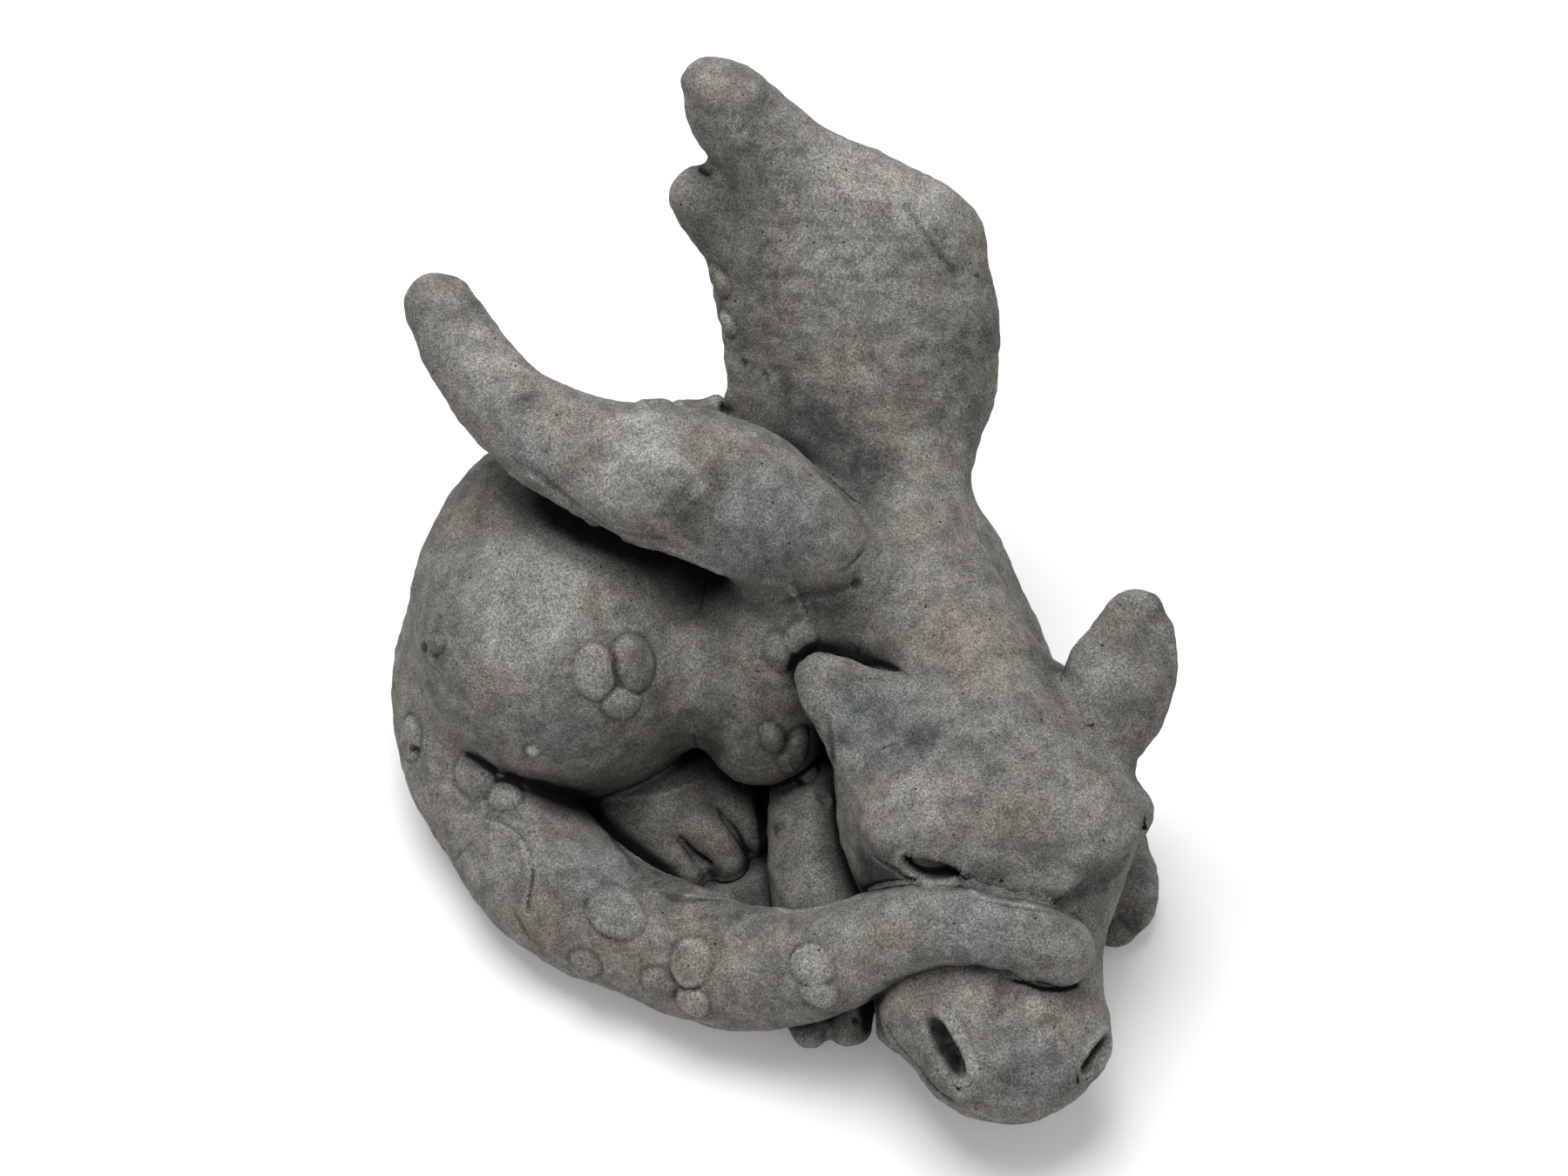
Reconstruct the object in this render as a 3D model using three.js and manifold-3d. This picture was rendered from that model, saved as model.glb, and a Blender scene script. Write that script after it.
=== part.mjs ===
// A curled, sleeping dragon in cast stone, lying on a flat base with one eye open.
// Millimetres, +Z up, the head and snout towards -Y, origin under the middle of its box.
//
// Each mass of the sculpture is its own solid: trunk, thighs, feet, arms, hands, neck, head,
// jaws, ears, wings and tail. They meet at the creases of the sculpture with a hairline gap.
import * as THREE from "three";
import { mergeVertices } from "three/addons/utils/BufferGeometryUtils.js";
import Module from "manifold-3d";

const wasm = await Module();
wasm.setup();

// Main measures. What lies behind the chest, beside the neck or above the wings' roots spreads out
// with them. Each mass keeps its thickness, and the head stays as it is and moves with the neck.
const BODY_LENGTH = 133; // along X, from the chest back to the bend of the tail
const NECK_REACH = 55; // along Y, from the trunk forward to the skull
const WING_RISE = 108; // along Z, from the far wing's root up to its tip

// Other driving dimensions
const GAP = 0.3; // hairline between two neighbouring masses
const BASE_HEIGHT = 9; // thickness of the flat web that joins the masses underneath
const SCALE_RISE = 1.6; // how far a scale stands above the skin
const SCALE_DEPTH = 4; // half thickness of the lens that makes a scale
const EYE_RADIUS = 8.2; // ball of the open eye
const NOSTRIL_LENGTH = 7.5; // half length of a nostril opening
const NOSTRIL_WIDTH = 3.4; // half width of it
const NOSTRIL_DEPTH = 7; // half depth of the hollow

// Spines of the masses. A station is [x, y, z, half width, half height].
const TRUNK = [
  [40.5, 16, 50, 26, 40],
  [31, 35, 53, 30, 46],
  [10, 54, 53, 38, 44],
  [-22, 62, 52, 38.5, 46],
  [-51, 57, 51, 38.5, 44],
  [-74, 51, 51, 32, 42],
];
const NECK = [
  [32, 38, 76, 20.5, 26],
  [39.5, 20, 72, 22, 26],
  [47.5, 0, 64, 25.5, 28],
];
const SNOUT = [
  [56, -50, 45, 31, 26],
  [55.7, -70, 37, 29.6, 24],
  [55.1, -86, 32, 30, 20.5],
  [59, -99.3, 28, 24, 18.3],
];
const JAW = [
  [56, -46, 20, 26, 13],
  [54, -70, 18, 29.5, 12],
  [53, -83.5, 16, 28, 10.5],
];
const TAIL = [
  [-84, 46, 33, 24, 28],
  [-92.5, 29, 28, 23.2, 25],
  [-89.5, 4, 24, 20.3, 22.3],
  [-76.6, -19.3, 20.7, 19.3, 20.2],
  [-63, -37, 18.6, 20.1, 19.7],
  [-44.5, -48.8, 18.7, 18.3, 18.3],
  [-26.5, -58.6, 18.8, 17.3, 18.1],
  [-10, -66, 21.7, 16.8, 17.2],
  [7, -69.5, 30, 15.3, 15.3],
  [21, -71, 42, 13.7, 13.7],
  [34, -73, 54, 11.8, 11.8],
  [47, -76, 60.5, 10.3, 9.8],
  [59, -78.5, 60, 9.6, 9.2],
  [72.5, -80.5, 54.5, 9, 8.6],
];
const LEFT_THIGH = [
  [-66, 76, 37, 26, 28],
  [-57, 79, 38, 33, 36],
  [-46, 81, 35, 28, 30],
];
const RIGHT_FOOT = [
  [-42, 4, 18, 21, 15],
  [-32, -6, 15, 22, 13],
  [-25, -13, 11, 18, 9],
];
const RIGHT_FOOT_TOES = [
  [[-46, -13, 14, 8.5, 10], [-35, -22, 12, 8, 9.5], [-28.5, -27.5, 8, 6.8, 7.5]],
  [[-34, -6, 15, 8.5, 10], [-23, -17, 12.5, 8, 9.5], [-16.5, -23, 8, 6.5, 7.5]],
  [[-23, 1, 15, 8, 9], [-13, -9, 13, 7.5, 9], [-8.5, -14.5, 8.5, 6, 7.5]],
];
const LEFT_FOOT = [
  [-52, 92, 14, 12, 13],
  [-36, 98, 12, 12, 11],
  [-24, 101, 11, 10, 10],
];
const LEFT_FOOT_TOES = [
  [[-32, 106, 10, 6, 9], [-20, 109, 9, 6, 8], [-10, 110, 7, 5, 6.5]],
  [[-28, 98, 10, 6, 9], [-16, 99, 9, 6, 8], [-5, 99, 7, 5, 6.5]],
  [[-30, 90, 10, 6, 9], [-18, 89, 9, 6, 8], [-8, 88, 7, 5, 6.5]],
];
const RIGHT_UPPER_ARM = [
  [13, 26, 82, 19, 20],
  [0, 14, 66, 24, 23],
  [-6, 5, 50, 20, 19],
  [-5, -4, 38, 15, 13],
];
const LEFT_UPPER_ARM = [
  [40, 38, 66, 22, 22],
  [50, 27, 52, 22, 22],
  [64, 14, 36, 18, 18],
  [76, 4, 22, 13, 14],
];
const RIGHT_FOREARM = [
  [7, -8, 25, 11, 12],
  [10, -24, 18, 15, 16],
  [13, -42, 14.5, 16.5, 14],
  [14, -58, 12, 13, 12],
];
const LEFT_FOREARM = [
  [80, 10, 20, 13, 15],
  [87.5, -8, 16, 13, 14],
  [92, -22, 13, 11, 12],
];
const RIGHT_FINGERS = [
  [[8, -60, 10, 7, 9], [5.8, -70, 9, 6.4, 8], [7.6, -77.6, 7, 4.8, 5]],
  [[18, -60, 10, 8, 9], [17.5, -70, 9, 7, 8], [18, -76.2, 7, 6, 5.5]],
];
const LEFT_FINGERS = [
  [[95, -20, 14, 9.2, 11], [98.4, -31, 11, 9.1, 9.4], [98.2, -39, 9, 7.2, 7.1]],
  [[91.5, -24, 12, 9, 10], [94.2, -37, 9, 8.3, 8.4], [92.8, -44, 7, 6.3, 5.9]],
];
const RIGHT_WING = [
  [19, 16, 91, 6.5, 7],
  [11.5, 19, 97, 13, 14],
  [0, 23.3, 104, 18.5, 19],
  [-19, 29.5, 112, 21, 19],
  [-39, 32.2, 116.6, 18, 16],
  [-60.7, 39.8, 119, 15, 13.8],
  [-78.7, 53.3, 123.7, 12.3, 11.6],
  [-90.5, 69.3, 130.3, 10.7, 10],
  [-94.8, 78.5, 134.3, 9.8, 9.2],
];
const LEFT_WING = [
  [26, 44, 80, 23, 22],
  [22.3, 59, 93, 31.5, 19],
  [22.1, 70.5, 104, 37.6, 17],
  [22, 79.5, 116, 39.1, 17],
  [20.2, 86, 126, 39.8, 17],
  [18.4, 91.5, 137, 38.3, 16],
  [18.7, 96, 149, 36.6, 15],
  [12.5, 99, 159, 31.2, 14.3],
  [2.3, 101, 167, 22.2, 12.8],
  [-7, 102.8, 174.2, 17.6, 11.5],
  [-11.8, 104.3, 181, 14.2, 11],
  [-15, 105.6, 186.8, 11.6, 10.4],
];
const LEFT_WING_FINGER = [
  [-2, 95, 136, 16, 11],
  [-12.2, 96, 145, 13, 9.5],
  [-19.8, 97, 152.8, 10.3, 8],
  [-23.2, 97.8, 158.4, 8.9, 7.4],
];
const RIGHT_EAR = [
  [46, -31, 62, 16, 9],
  [37, -27, 67.5, 17.5, 8],
  [26, -22, 73, 16.5, 7.5],
  [16, -16, 78, 11.5, 6.5],
  [7.5, -8.2, 81.3, 6, 4.8],
];
const LEFT_EAR = [
  [85, -26, 64, 9.5, 9],
  [89.3, -17, 75, 15, 9],
  [90.8, -11, 82, 15.1, 8],
  [91.4, -6, 87.5, 13.6, 7],
  [93, -2, 92, 10.5, 6],
  [93.6, 1.2, 97.5, 6.6, 5],
];

// Outline of the web under the curl, as [x, y] points of a closed curve.
const BASE_OUTLINE = [
  [-92, 30],
  [-88, 2],
  [-70, -27],
  [-44, -49],
  [-14, -60],
  [12, -60],
  [34, -66],
  [56, -70],
  [76, -56],
  [90, -26],
  [84, 0],
  [68, 34],
  [44, 66],
  [10, 84],
  [-30, 94],
  [-66, 86],
  [-86, 62],
];

// Round masses, and lumps and hollows of the face: [x, y, z] and three radii.
const RIGHT_THIGH = [[-60.9, 30.7, 51], [46.4, 49.9, 47.5]];
const CRANIUM = [[53, -17, 52], [38, 34, 33.5]];
const FOREHEAD = [[56.5, -37.5, 50], [39.5, 33, 34]];
const RIGHT_BROW = [[36, -46, 66], [15, 13, 9]];
const LEFT_BROW = [[80, -46, 64], [15, 12, 9]];
const LEFT_BROW_KNOB = [[92.4, -37.5, 56], [7.2, 7.5, 7]];
const RIGHT_NOSTRIL_RIM = [[43, -90, 38], [9, 13, 9]];
const LEFT_NOSTRIL_RIM = [[78.6, -91.5, 31.5], [6.6, 9, 8]];
const RIGHT_NOSTRIL = [43.3, -100, 41];
const LEFT_NOSTRIL = [80, -101, 32];
const RIGHT_EYE = [39.5, -55.4, 67.2];

// Scales: [x, y, z] of the middle on the skin, then the radius.
const THIGH_SCALES = [
  [-52, -5, 75, 5.2],
  [-42, -1, 74, 5.5],
  [-45, -10, 70, 4.7],
];
const TAIL_SCALES = [
  [-86, -15, 41, 6.4],
  [-77, -21, 40, 4.8],
  [-44, -57, 35, 5.7],
  [-55, -61, 16, 4.8],
  [-26, -70, 31, 5.9],
  [-35, -71, 19, 4.7],
  [-24, -76, 21, 4.7],
  [5, -78, 43, 5.7],
  [8, -83, 35, 5.8],
  [-107, 2, 37, 4],
];
const ARM_SCALES = [
  [-2, -2, 80, 4],
  [5, -1, 83, 4.5],
  [4, -6, 76, 3.6],
  [-3, -11, 57, 3.5],
  [4, -11, 54, 5.2],
  [3, -14, 47, 3.9],
];

// Where the main measures are taken from: the chest, the neck's two ends and the far wing's root.
const CHEST = TRUNK[0][0];
const NECK_ROOT = NECK[0][1];
const NECK_END = CRANIUM[0][1];
const WING_ROOT = LEFT_WING[0][2];
const LENGTHEN = BODY_LENGTH / (CHEST - TAIL[1][0]);
const FORWARD = NECK_ROOT - NECK_END - NECK_REACH;
const RAISE = WING_RISE / (LEFT_WING.at(-1)[2] - WING_ROOT);

const STONE = { color: 0x6b6761, roughness: 0.92, metalness: 0 };
const CAP_RINGS = 3; // rings that round each end of a limb
const TAPER_STEP = 0.02; // share of a spine over which the taper at its end is measured
const SPINE_SAMPLES = 40; // points of a spine that a scale is measured from
const ORIGIN_STEP = 0.1; // the origin is under the middle of the box to within this

// Where a point lies once the main measures are set.
const placed = ([x, y, z]) => [
  CHEST + (x - CHEST) * (x < CHEST ? LENGTHEN : 1),
  y + FORWARD * THREE.MathUtils.clamp((NECK_ROOT - y) / (NECK_ROOT - NECK_END), 0, 1),
  WING_ROOT + (z - WING_ROOT) * (z > WING_ROOT ? RAISE : 1),
];
// The same for a point of the head, which moves in one piece with the neck's end.
const onHead = ([x, y, z]) => [x, y + FORWARD, z];

// Half width and half height along a spine, as a curve of its own.
const sizesOf = (stations, grow) =>
  new THREE.CatmullRomCurve3(stations.map(([, , , w, h]) => new THREE.Vector3(w + grow, h + grow, 0)));
const spineOf = (stations, place) =>
  new THREE.CatmullRomCurve3(stations.map((station) => new THREE.Vector3(...place(station))));

// The section of a limb at t: its centre, its two axes and its half sizes.
function section(stations, t, { up = [0, 0, 1], across, grow = 0, place = placed } = {}) {
  const spine = spineOf(stations, place);
  const tangent = spine.getTangent(t);
  const side = across
    ? new THREE.Vector3(...across)
    : new THREE.Vector3().crossVectors(new THREE.Vector3(...up), tangent).normalize();
  const high = new THREE.Vector3().crossVectors(tangent, side).normalize();
  const size = sizesOf(stations, grow).getPoint(t);
  return { centre: spine.getPoint(t), tangent, side, high, wide: size.x, tall: size.y };
}

// How the rounded end of a limb runs on from its taper: how far its middle lies behind the last
// section, and how far it reaches from there.
function roundedEnd(stations, t, options) {
  const last = section(stations, t, { ...options, grow: 0 });
  const before = section(stations, Math.abs(t - TAPER_STEP), { ...options, grow: 0 });
  const away = last.centre.distanceTo(before.centre);
  const taper = ((before.wide / last.wide + before.tall / last.tall) / 2 - 1) / away;
  const thin = Math.min(last.wide, last.tall);
  return { behind: taper * thin ** 2, reach: thin * Math.hypot(1, taper * thin) };
}

// A limb is a unit sphere drawn out along a smooth spine, with elliptical sections.
// The width lies across the spine and the height along up. With across, the sections
// keep that sideways direction instead of turning with the spine.
function limbGeometry(stations, options = {}) {
  const { around = 14, rings = 14, grow = 0 } = options;
  const ends = [roundedEnd(stations, 0, options), roundedEnd(stations, 1, options)];
  const geometry = new THREE.SphereGeometry(1, around, rings);
  const position = geometry.getAttribute("position");
  for (let ring = 0; ring <= rings; ring++) {
    const inCap = Math.max(CAP_RINGS - ring, ring - (rings - CAP_RINGS), 0);
    const t = THREE.MathUtils.clamp((ring - CAP_RINGS) / (rings - 2 * CAP_RINGS), 0, 1);
    const { centre, tangent, side, high, wide, tall } = section(stations, t, options);
    const { behind, reach } = ends[Math.round(t)];
    const joined = Math.asin(behind / reach);
    const angle = THREE.MathUtils.lerp(joined, Math.PI / 2, inCap / CAP_RINGS);
    const ahead = inCap === 0 ? 0 : (reach + grow) * Math.sin(angle) - behind;
    const spread = inCap === 0 ? 1 : inCap === CAP_RINGS ? 0 : Math.cos(angle) / Math.cos(joined);
    centre.addScaledVector(tangent, t < 0.5 ? -ahead : ahead);
    for (let step = 0; step <= around; step++) {
      const turn = ((step % around) / around) * 2 * Math.PI;
      const point = centre
        .clone()
        .addScaledVector(side, -wide * spread * Math.cos(turn))
        .addScaledVector(high, tall * spread * Math.sin(turn));
      position.setXYZ(ring * (around + 1) + step, point.x, point.y, point.z);
    }
  }
  return geometry;
}

const limb = (stations, options) => solid(limbGeometry(stations, options));

// An ellipsoid, as a lump or as a hollow to cut. Its own z axis points along normal.
function ballGeometry(centre, [a, b, c], { grow = 0, normal = [0, 0, 1], around = 10 } = {}) {
  const geometry = new THREE.SphereGeometry(1, around, around - 2);
  geometry.scale(a + grow, b + grow, c + grow);
  const turn = new THREE.Quaternion().setFromUnitVectors(
    new THREE.Vector3(0, 0, 1),
    new THREE.Vector3(...normal).normalize(),
  );
  geometry.applyQuaternion(turn);
  return geometry.translate(...centre);
}

const ball = (centre, radii, options) => solid(ballGeometry(centre, radii, options));

// Lens shaped scales, each at the place where the line to it from the core meets the skin.
function scales(skin, core, places, grow) {
  const target = new THREE.Mesh(skin);
  skin.computeBoundingSphere();
  return places.map(([x, y, z, radius]) => {
    const place = new THREE.Vector3(...placed([x, y, z]));
    const nearest = core.reduce((best, next) =>
      next.distanceToSquared(place) < best.distanceToSquared(place) ? next : best,
    );
    const outward = place.clone().sub(nearest).normalize();
    const start = nearest.clone().addScaledVector(outward, 2 * skin.boundingSphere.radius);
    const [hit] = new THREE.Raycaster(start, outward.negate()).intersectObject(target);
    const normal = hit.face.normal;
    const middle = hit.point.addScaledVector(normal, SCALE_RISE - SCALE_DEPTH);
    return ball(middle.toArray(), [radius, radius, SCALE_DEPTH], {
      grow,
      normal: normal.toArray(),
      around: 8,
    });
  });
}

// A limb with its scales.
function scaly(stations, places, options) {
  const core = spineOf(stations, placed).getPoints(SPINE_SAMPLES);
  const skin = limbGeometry(stations, options);
  return [solid(skin), ...scales(skin, core, places, options.grow)];
}

// The haunch, a round mass with a cluster of scales.
function haunch(grow) {
  const [centre, radii] = RIGHT_THIGH;
  const middle = placed(centre);
  const skin = ballGeometry(middle, radii, { grow, around: 22 });
  return [solid(skin), ...scales(skin, [new THREE.Vector3(...middle)], THIGH_SCALES, grow)];
}

// The web under the curl: a low slab with a smooth outline.
function base(grow) {
  const outline = new THREE.CatmullRomCurve3(
    BASE_OUTLINE.map(([x, y]) => new THREE.Vector3(...placed([x, y, 0]).slice(0, 2), 0)),
    true,
  );
  const shape = new THREE.Shape(outline.getPoints(BASE_OUTLINE.length * 3).slice(1));
  const geometry = new THREE.ExtrudeGeometry(shape, { depth: BASE_HEIGHT + grow, bevelEnabled: false });
  return solid(geometry);
}

// A three.js geometry as a manifold solid.
function solid(geometry) {
  const bare = geometry.clone();
  bare.deleteAttribute("normal");
  bare.deleteAttribute("uv");
  const merged = mergeVertices(bare, 1e-4);
  return new wasm.Manifold(
    new wasm.Mesh({
      numProp: 3,
      vertProperties: new Float32Array(merged.getAttribute("position").array),
      triVerts: new Uint32Array(merged.index.array),
    }),
  );
}

// A manifold solid as a three.js geometry.
function geometryOf(made) {
  const mesh = made.getMesh();
  const geometry = new THREE.BufferGeometry();
  geometry.setAttribute("position", new THREE.BufferAttribute(new Float32Array(mesh.vertProperties), 3));
  geometry.setIndex(new THREE.BufferAttribute(new Uint32Array(mesh.triVerts), 1));
  geometry.computeVertexNormals();
  return geometry;
}

const join = (solids) => solids.reduce((whole, next) => whole.add(next));
const cut = (whole, tools) => tools.reduce((rest, tool) => rest.subtract(tool), whole);

const nostril = (centre, side) =>
  ball(onHead(centre), [NOSTRIL_WIDTH, NOSTRIL_LENGTH, NOSTRIL_DEPTH], { normal: [side, -0.64, 0.7] });
const lump = ([centre, radii], grow, around) => ball(onHead(centre), radii, { grow, around });

// The masses, in order of who gives way: each is cut back, with the gap, by those before it.
const masses = {
  base: (grow) => [base(grow)],
  trunk: (grow) => [limb(TRUNK, { rings: 18, around: 18, grow })],
  right_thigh: haunch,
  left_thigh: (grow) => [limb(LEFT_THIGH, { rings: 12, around: 16, grow })],
  tail: (grow) => scaly(TAIL, TAIL_SCALES, { rings: 34, around: 12, grow }),
  neck: (grow) => [limb(NECK, { rings: 12, around: 16, grow })],
  right_eye: (grow) => [ball(onHead(RIGHT_EYE), [EYE_RADIUS, EYE_RADIUS, EYE_RADIUS], { grow })],
  head: (grow) => [
    lump(CRANIUM, grow, 18),
    lump(FOREHEAD, grow, 20),
    lump(RIGHT_BROW, grow),
    lump(LEFT_BROW, grow),
    lump(LEFT_BROW_KNOB, grow),
  ],
  snout: (grow) => [
    cut(
      join([
        limb(SNOUT, { rings: 14, around: 18, place: onHead, grow }),
        lump(RIGHT_NOSTRIL_RIM, grow),
        lump(LEFT_NOSTRIL_RIM, grow),
      ]),
      [nostril(RIGHT_NOSTRIL, -0.3), nostril(LEFT_NOSTRIL, 0.3)],
    ),
  ],
  lower_jaw: (grow) => [limb(JAW, { rings: 12, around: 14, place: onHead, grow })],
  right_upper_arm: (grow) => scaly(RIGHT_UPPER_ARM, ARM_SCALES, { up: [0, 1, 0], grow }),
  left_upper_arm: (grow) => [limb(LEFT_UPPER_ARM, { up: [0, 1, 0], grow })],
  right_forearm: (grow) => [limb(RIGHT_FOREARM, { rings: 12, grow })],
  left_forearm: (grow) => [limb(LEFT_FOREARM, { rings: 12, around: 12, grow })],
  right_hand: (grow) => RIGHT_FINGERS.map((finger) => limb(finger, { rings: 10, around: 10, grow })),
  left_hand: (grow) => LEFT_FINGERS.map((finger) => limb(finger, { rings: 10, around: 10, grow })),
  right_hind_foot: (grow) => [
    limb(RIGHT_FOOT, { rings: 10, around: 16, grow }),
    ...RIGHT_FOOT_TOES.map((toe) => limb(toe, { rings: 10, around: 10, grow })),
  ],
  left_hind_foot: (grow) => [
    limb(LEFT_FOOT, { rings: 10, around: 12, grow }),
    ...LEFT_FOOT_TOES.map((toe) => limb(toe, { rings: 10, around: 10, grow })),
  ],
  right_wing: (grow) => [limb(RIGHT_WING, { up: [0, -0.64, 0.77], rings: 20, grow })],
  left_wing: (grow) => [
    limb(LEFT_WING, { across: [1, 0, 0], up: [0, -0.8, 0.6], rings: 26, around: 16, grow }),
    limb(LEFT_WING_FINGER, { up: [0, -0.8, 0.6], rings: 10, around: 12, grow }),
  ],
  right_ear: (grow) => [
    limb(RIGHT_EAR, { up: [-0.3, -0.6, 0.74], rings: 14, around: 12, place: onHead, grow }),
  ],
  left_ear: (grow) => [
    limb(LEFT_EAR, { across: [1, 0, 0], up: [0.2, -0.6, 0.77], rings: 14, around: 12, place: onHead, grow }),
  ],
};

// The largest separate body of a solid, so that no loose sliver is left by a cut.
function largest(made) {
  return made.decompose().reduce((best, next) => (next.volume() > best.volume() ? next : best));
}

// Cut each mass from what is left above the ground, then put the middle of them all on the origin.
const cutters = [];
const bodies = Object.entries(masses).map(([name, shapes]) => {
  const body = cut(join(shapes(0)), cutters).trimByPlane([0, 0, 1], 0);
  cutters.push(join(shapes(GAP)));
  const mesh = new THREE.Mesh(geometryOf(largest(body)), new THREE.MeshStandardMaterial(STONE));
  mesh.name = name;
  return mesh;
});
const figurine = new THREE.Group();
figurine.add(...bodies);
const middle = new THREE.Box3().setFromObject(figurine).getCenter(new THREE.Vector3());
middle.divideScalar(ORIGIN_STEP).round().multiplyScalar(ORIGIN_STEP);
for (const mesh of bodies) {
  mesh.position.set(-middle.x, -middle.y, 0);
}

export default figurine;
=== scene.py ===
"""Looks of a curled, sleeping dragon in cast stone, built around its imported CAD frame.

The sculpture is worked as clay: each mass is blocked out from sphere primitives that are drawn
along a spine, joined and remeshed, and then pressed to one shared surface in which the masses melt
into each other as far as they do on the real casting. So every mass stays a piece of its own and
the stone still runs on without a seam. Sizes are in millimetres, as in the CAD, and meshes in metres.
"""

from __future__ import annotations

import logging
import math
from collections.abc import Callable, Iterator, Sequence
from concurrent.futures import ThreadPoolExecutor
from dataclasses import dataclass, field, replace
from enum import Enum
from functools import cached_property, partial

import bpy
import numpy as np
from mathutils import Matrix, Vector


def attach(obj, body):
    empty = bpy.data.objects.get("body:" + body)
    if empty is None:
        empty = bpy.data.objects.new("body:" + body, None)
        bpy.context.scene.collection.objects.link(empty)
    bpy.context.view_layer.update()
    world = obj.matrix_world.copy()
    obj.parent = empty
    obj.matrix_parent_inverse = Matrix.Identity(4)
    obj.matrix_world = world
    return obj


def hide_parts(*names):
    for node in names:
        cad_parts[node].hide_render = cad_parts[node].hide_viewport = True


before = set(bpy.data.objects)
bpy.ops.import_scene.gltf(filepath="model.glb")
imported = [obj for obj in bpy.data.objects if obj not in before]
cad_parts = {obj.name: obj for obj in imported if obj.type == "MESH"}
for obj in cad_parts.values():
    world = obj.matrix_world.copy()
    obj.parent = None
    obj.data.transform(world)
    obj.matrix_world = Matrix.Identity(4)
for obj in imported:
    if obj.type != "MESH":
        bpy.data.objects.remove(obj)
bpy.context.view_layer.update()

log = logging.getLogger("dragon")

Triple = tuple[float, float, float]
Station = tuple[float, float, float, float, float]
Array = np.ndarray

MM = 0.001
CENTRE = np.array((-3.7, 0.6, 0.0), np.float32)  # middle of the sculpture as modelled, as in the CAD
SAMPLES = 193  # places along a spine at which its section is worked out
COARSE = 4  # every how many of them the nearest place is first looked for
EVEN = 0.32  # share of the way between two stations over which a limb is evened out
NEWTON_STEPS = 2
CARE = 3.0  # how much farther than it melts a form is worked out exactly
WIDEST = 15.0  # the same for a form that may meet one of those that melt widest
MARGIN = 18.0  # rim of the ground plan's grid
CELL = 9.0  # points are worked out together with the others in a block of this size
SIGHT = 190.0  # how far in front of the aim a line of sight starts to look for the skin
SIGHT_STEPS = 60
LAP = 2.0  # how far a piece runs on under its neighbour, at most
LAP_LEAST = 0.25  # the lap at a seam that isn't melted
LAP_SHARE = 1.0  # the lap where a seam is melted less deep, for each millimetre of depth
LEAST_SEEN = 0.6  # least share of a lump's length that a slanting skin leaves to be seen
SCALE_RISE = 1.4  # scales stand this much prouder than the photograph alone makes them look
SCALE_DOME = 1.6  # half height of a scale's lens for each millimetre that it stands proud
SCALE_MELT = 0.4  # how wide a scale melts into the skin
MOAT_WIDTH = 1.4  # half width of the groove round a scale
MOAT_DEPTH = 0.25  # its depth for each millimetre that the scale stands proud
CREASE_END = 0.1  # half width of a crease's core at its ends
CREASE_CORE = 0.3  # what its core gains in the middle, for each millimetre of its width
CREASE_SLOPE = 1.3  # factor on its depth, and on its width for how far its slopes run out
SOFT_CORE = 0.2  # half width of the core of a soft ridge or hollow, as a share of its own
PATCH_CORE = 0.3  # share of a colour patch's half width that has its full strength
PATCH_FADE = 0.8  # how far it fades out beyond that, as a share of its half width
PIT_DEPTH = 1.4  # half height of a pinhole for each millimetre of its half width
UNMARKED = "unmarked"  # key of the distance before any mark is pressed
SLOPE = 0.06  # step for slopes of the surface
BLOCK_SMOOTHING = 4  # rounds of smoothing before a block is brought onto the plain clay
PLAIN_SMOOTHING = 2  # and before it is brought down into the marks
FOLLOW_STEPS = 3  # steps in which its points are brought there each time
FOLLOW_LIMIT = 1.4  # farthest that one of these steps moves a point
PRESS_LIMIT = 3.0  # farthest that a step moves the place of a mark onto the skin
GROUND_ROUND = 1.2  # rounding of the edge at the ground
BLOCK_GROW = 0.5  # how much larger a mass is blocked out than it will be
CAP_RINGS = 4
CHUNK = 3000  # points that one worker takes at a time
VOXEL_FACTOR = 1.0
# the occlusion found at these reaches darkens hollows in the stone's colour: painted shade
OCCLUSION_REACHES = ((1.8, 0.30), (5.5, 0.40), (15.0, 0.30))  # reaches at which open air is looked for, with shares
EDGE_DEPTH = 3.0  # how deep below the skin there has to be stone where it isn't an edge
WAVES = ((34.0, 0.30), (15.0, 0.17), (6.5, 0.09), (2.8, 0.05))  # length and height of the skin's waves
WAVE_COUNT = 18  # waves of each length
WAVE_SPREAD = (0.75, 1.35)  # how much their lengths differ
WAVE_SEED = 7


# Shapes of the clay


def melt(first: Array, second: Array, radius: Array | float) -> Array:
    """Joins two distances so that they run into each other.

    Args:
        first: Distances to the first form.
        second: Distances to the second form.
        radius: How wide the run between them is, in millimetres.

    Returns:
        Distances to the joined form.
    """
    radius = np.maximum(radius, 1e-3)
    near = np.maximum(radius - np.abs(first - second), 0) / radius
    return np.minimum(first, second) - near * near * radius * 0.25


def carve(body: Array, tool: Array, radius: Array | float) -> Array:
    """Takes a form out of a body, with edges rounded by the radius.

    Args:
        body: Distances to the body.
        tool: Distances to the form that is taken out.
        radius: Rounding of the edge, in millimetres.

    Returns:
        Distances to what is left.
    """
    return -melt(-body, tool, radius)


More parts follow.
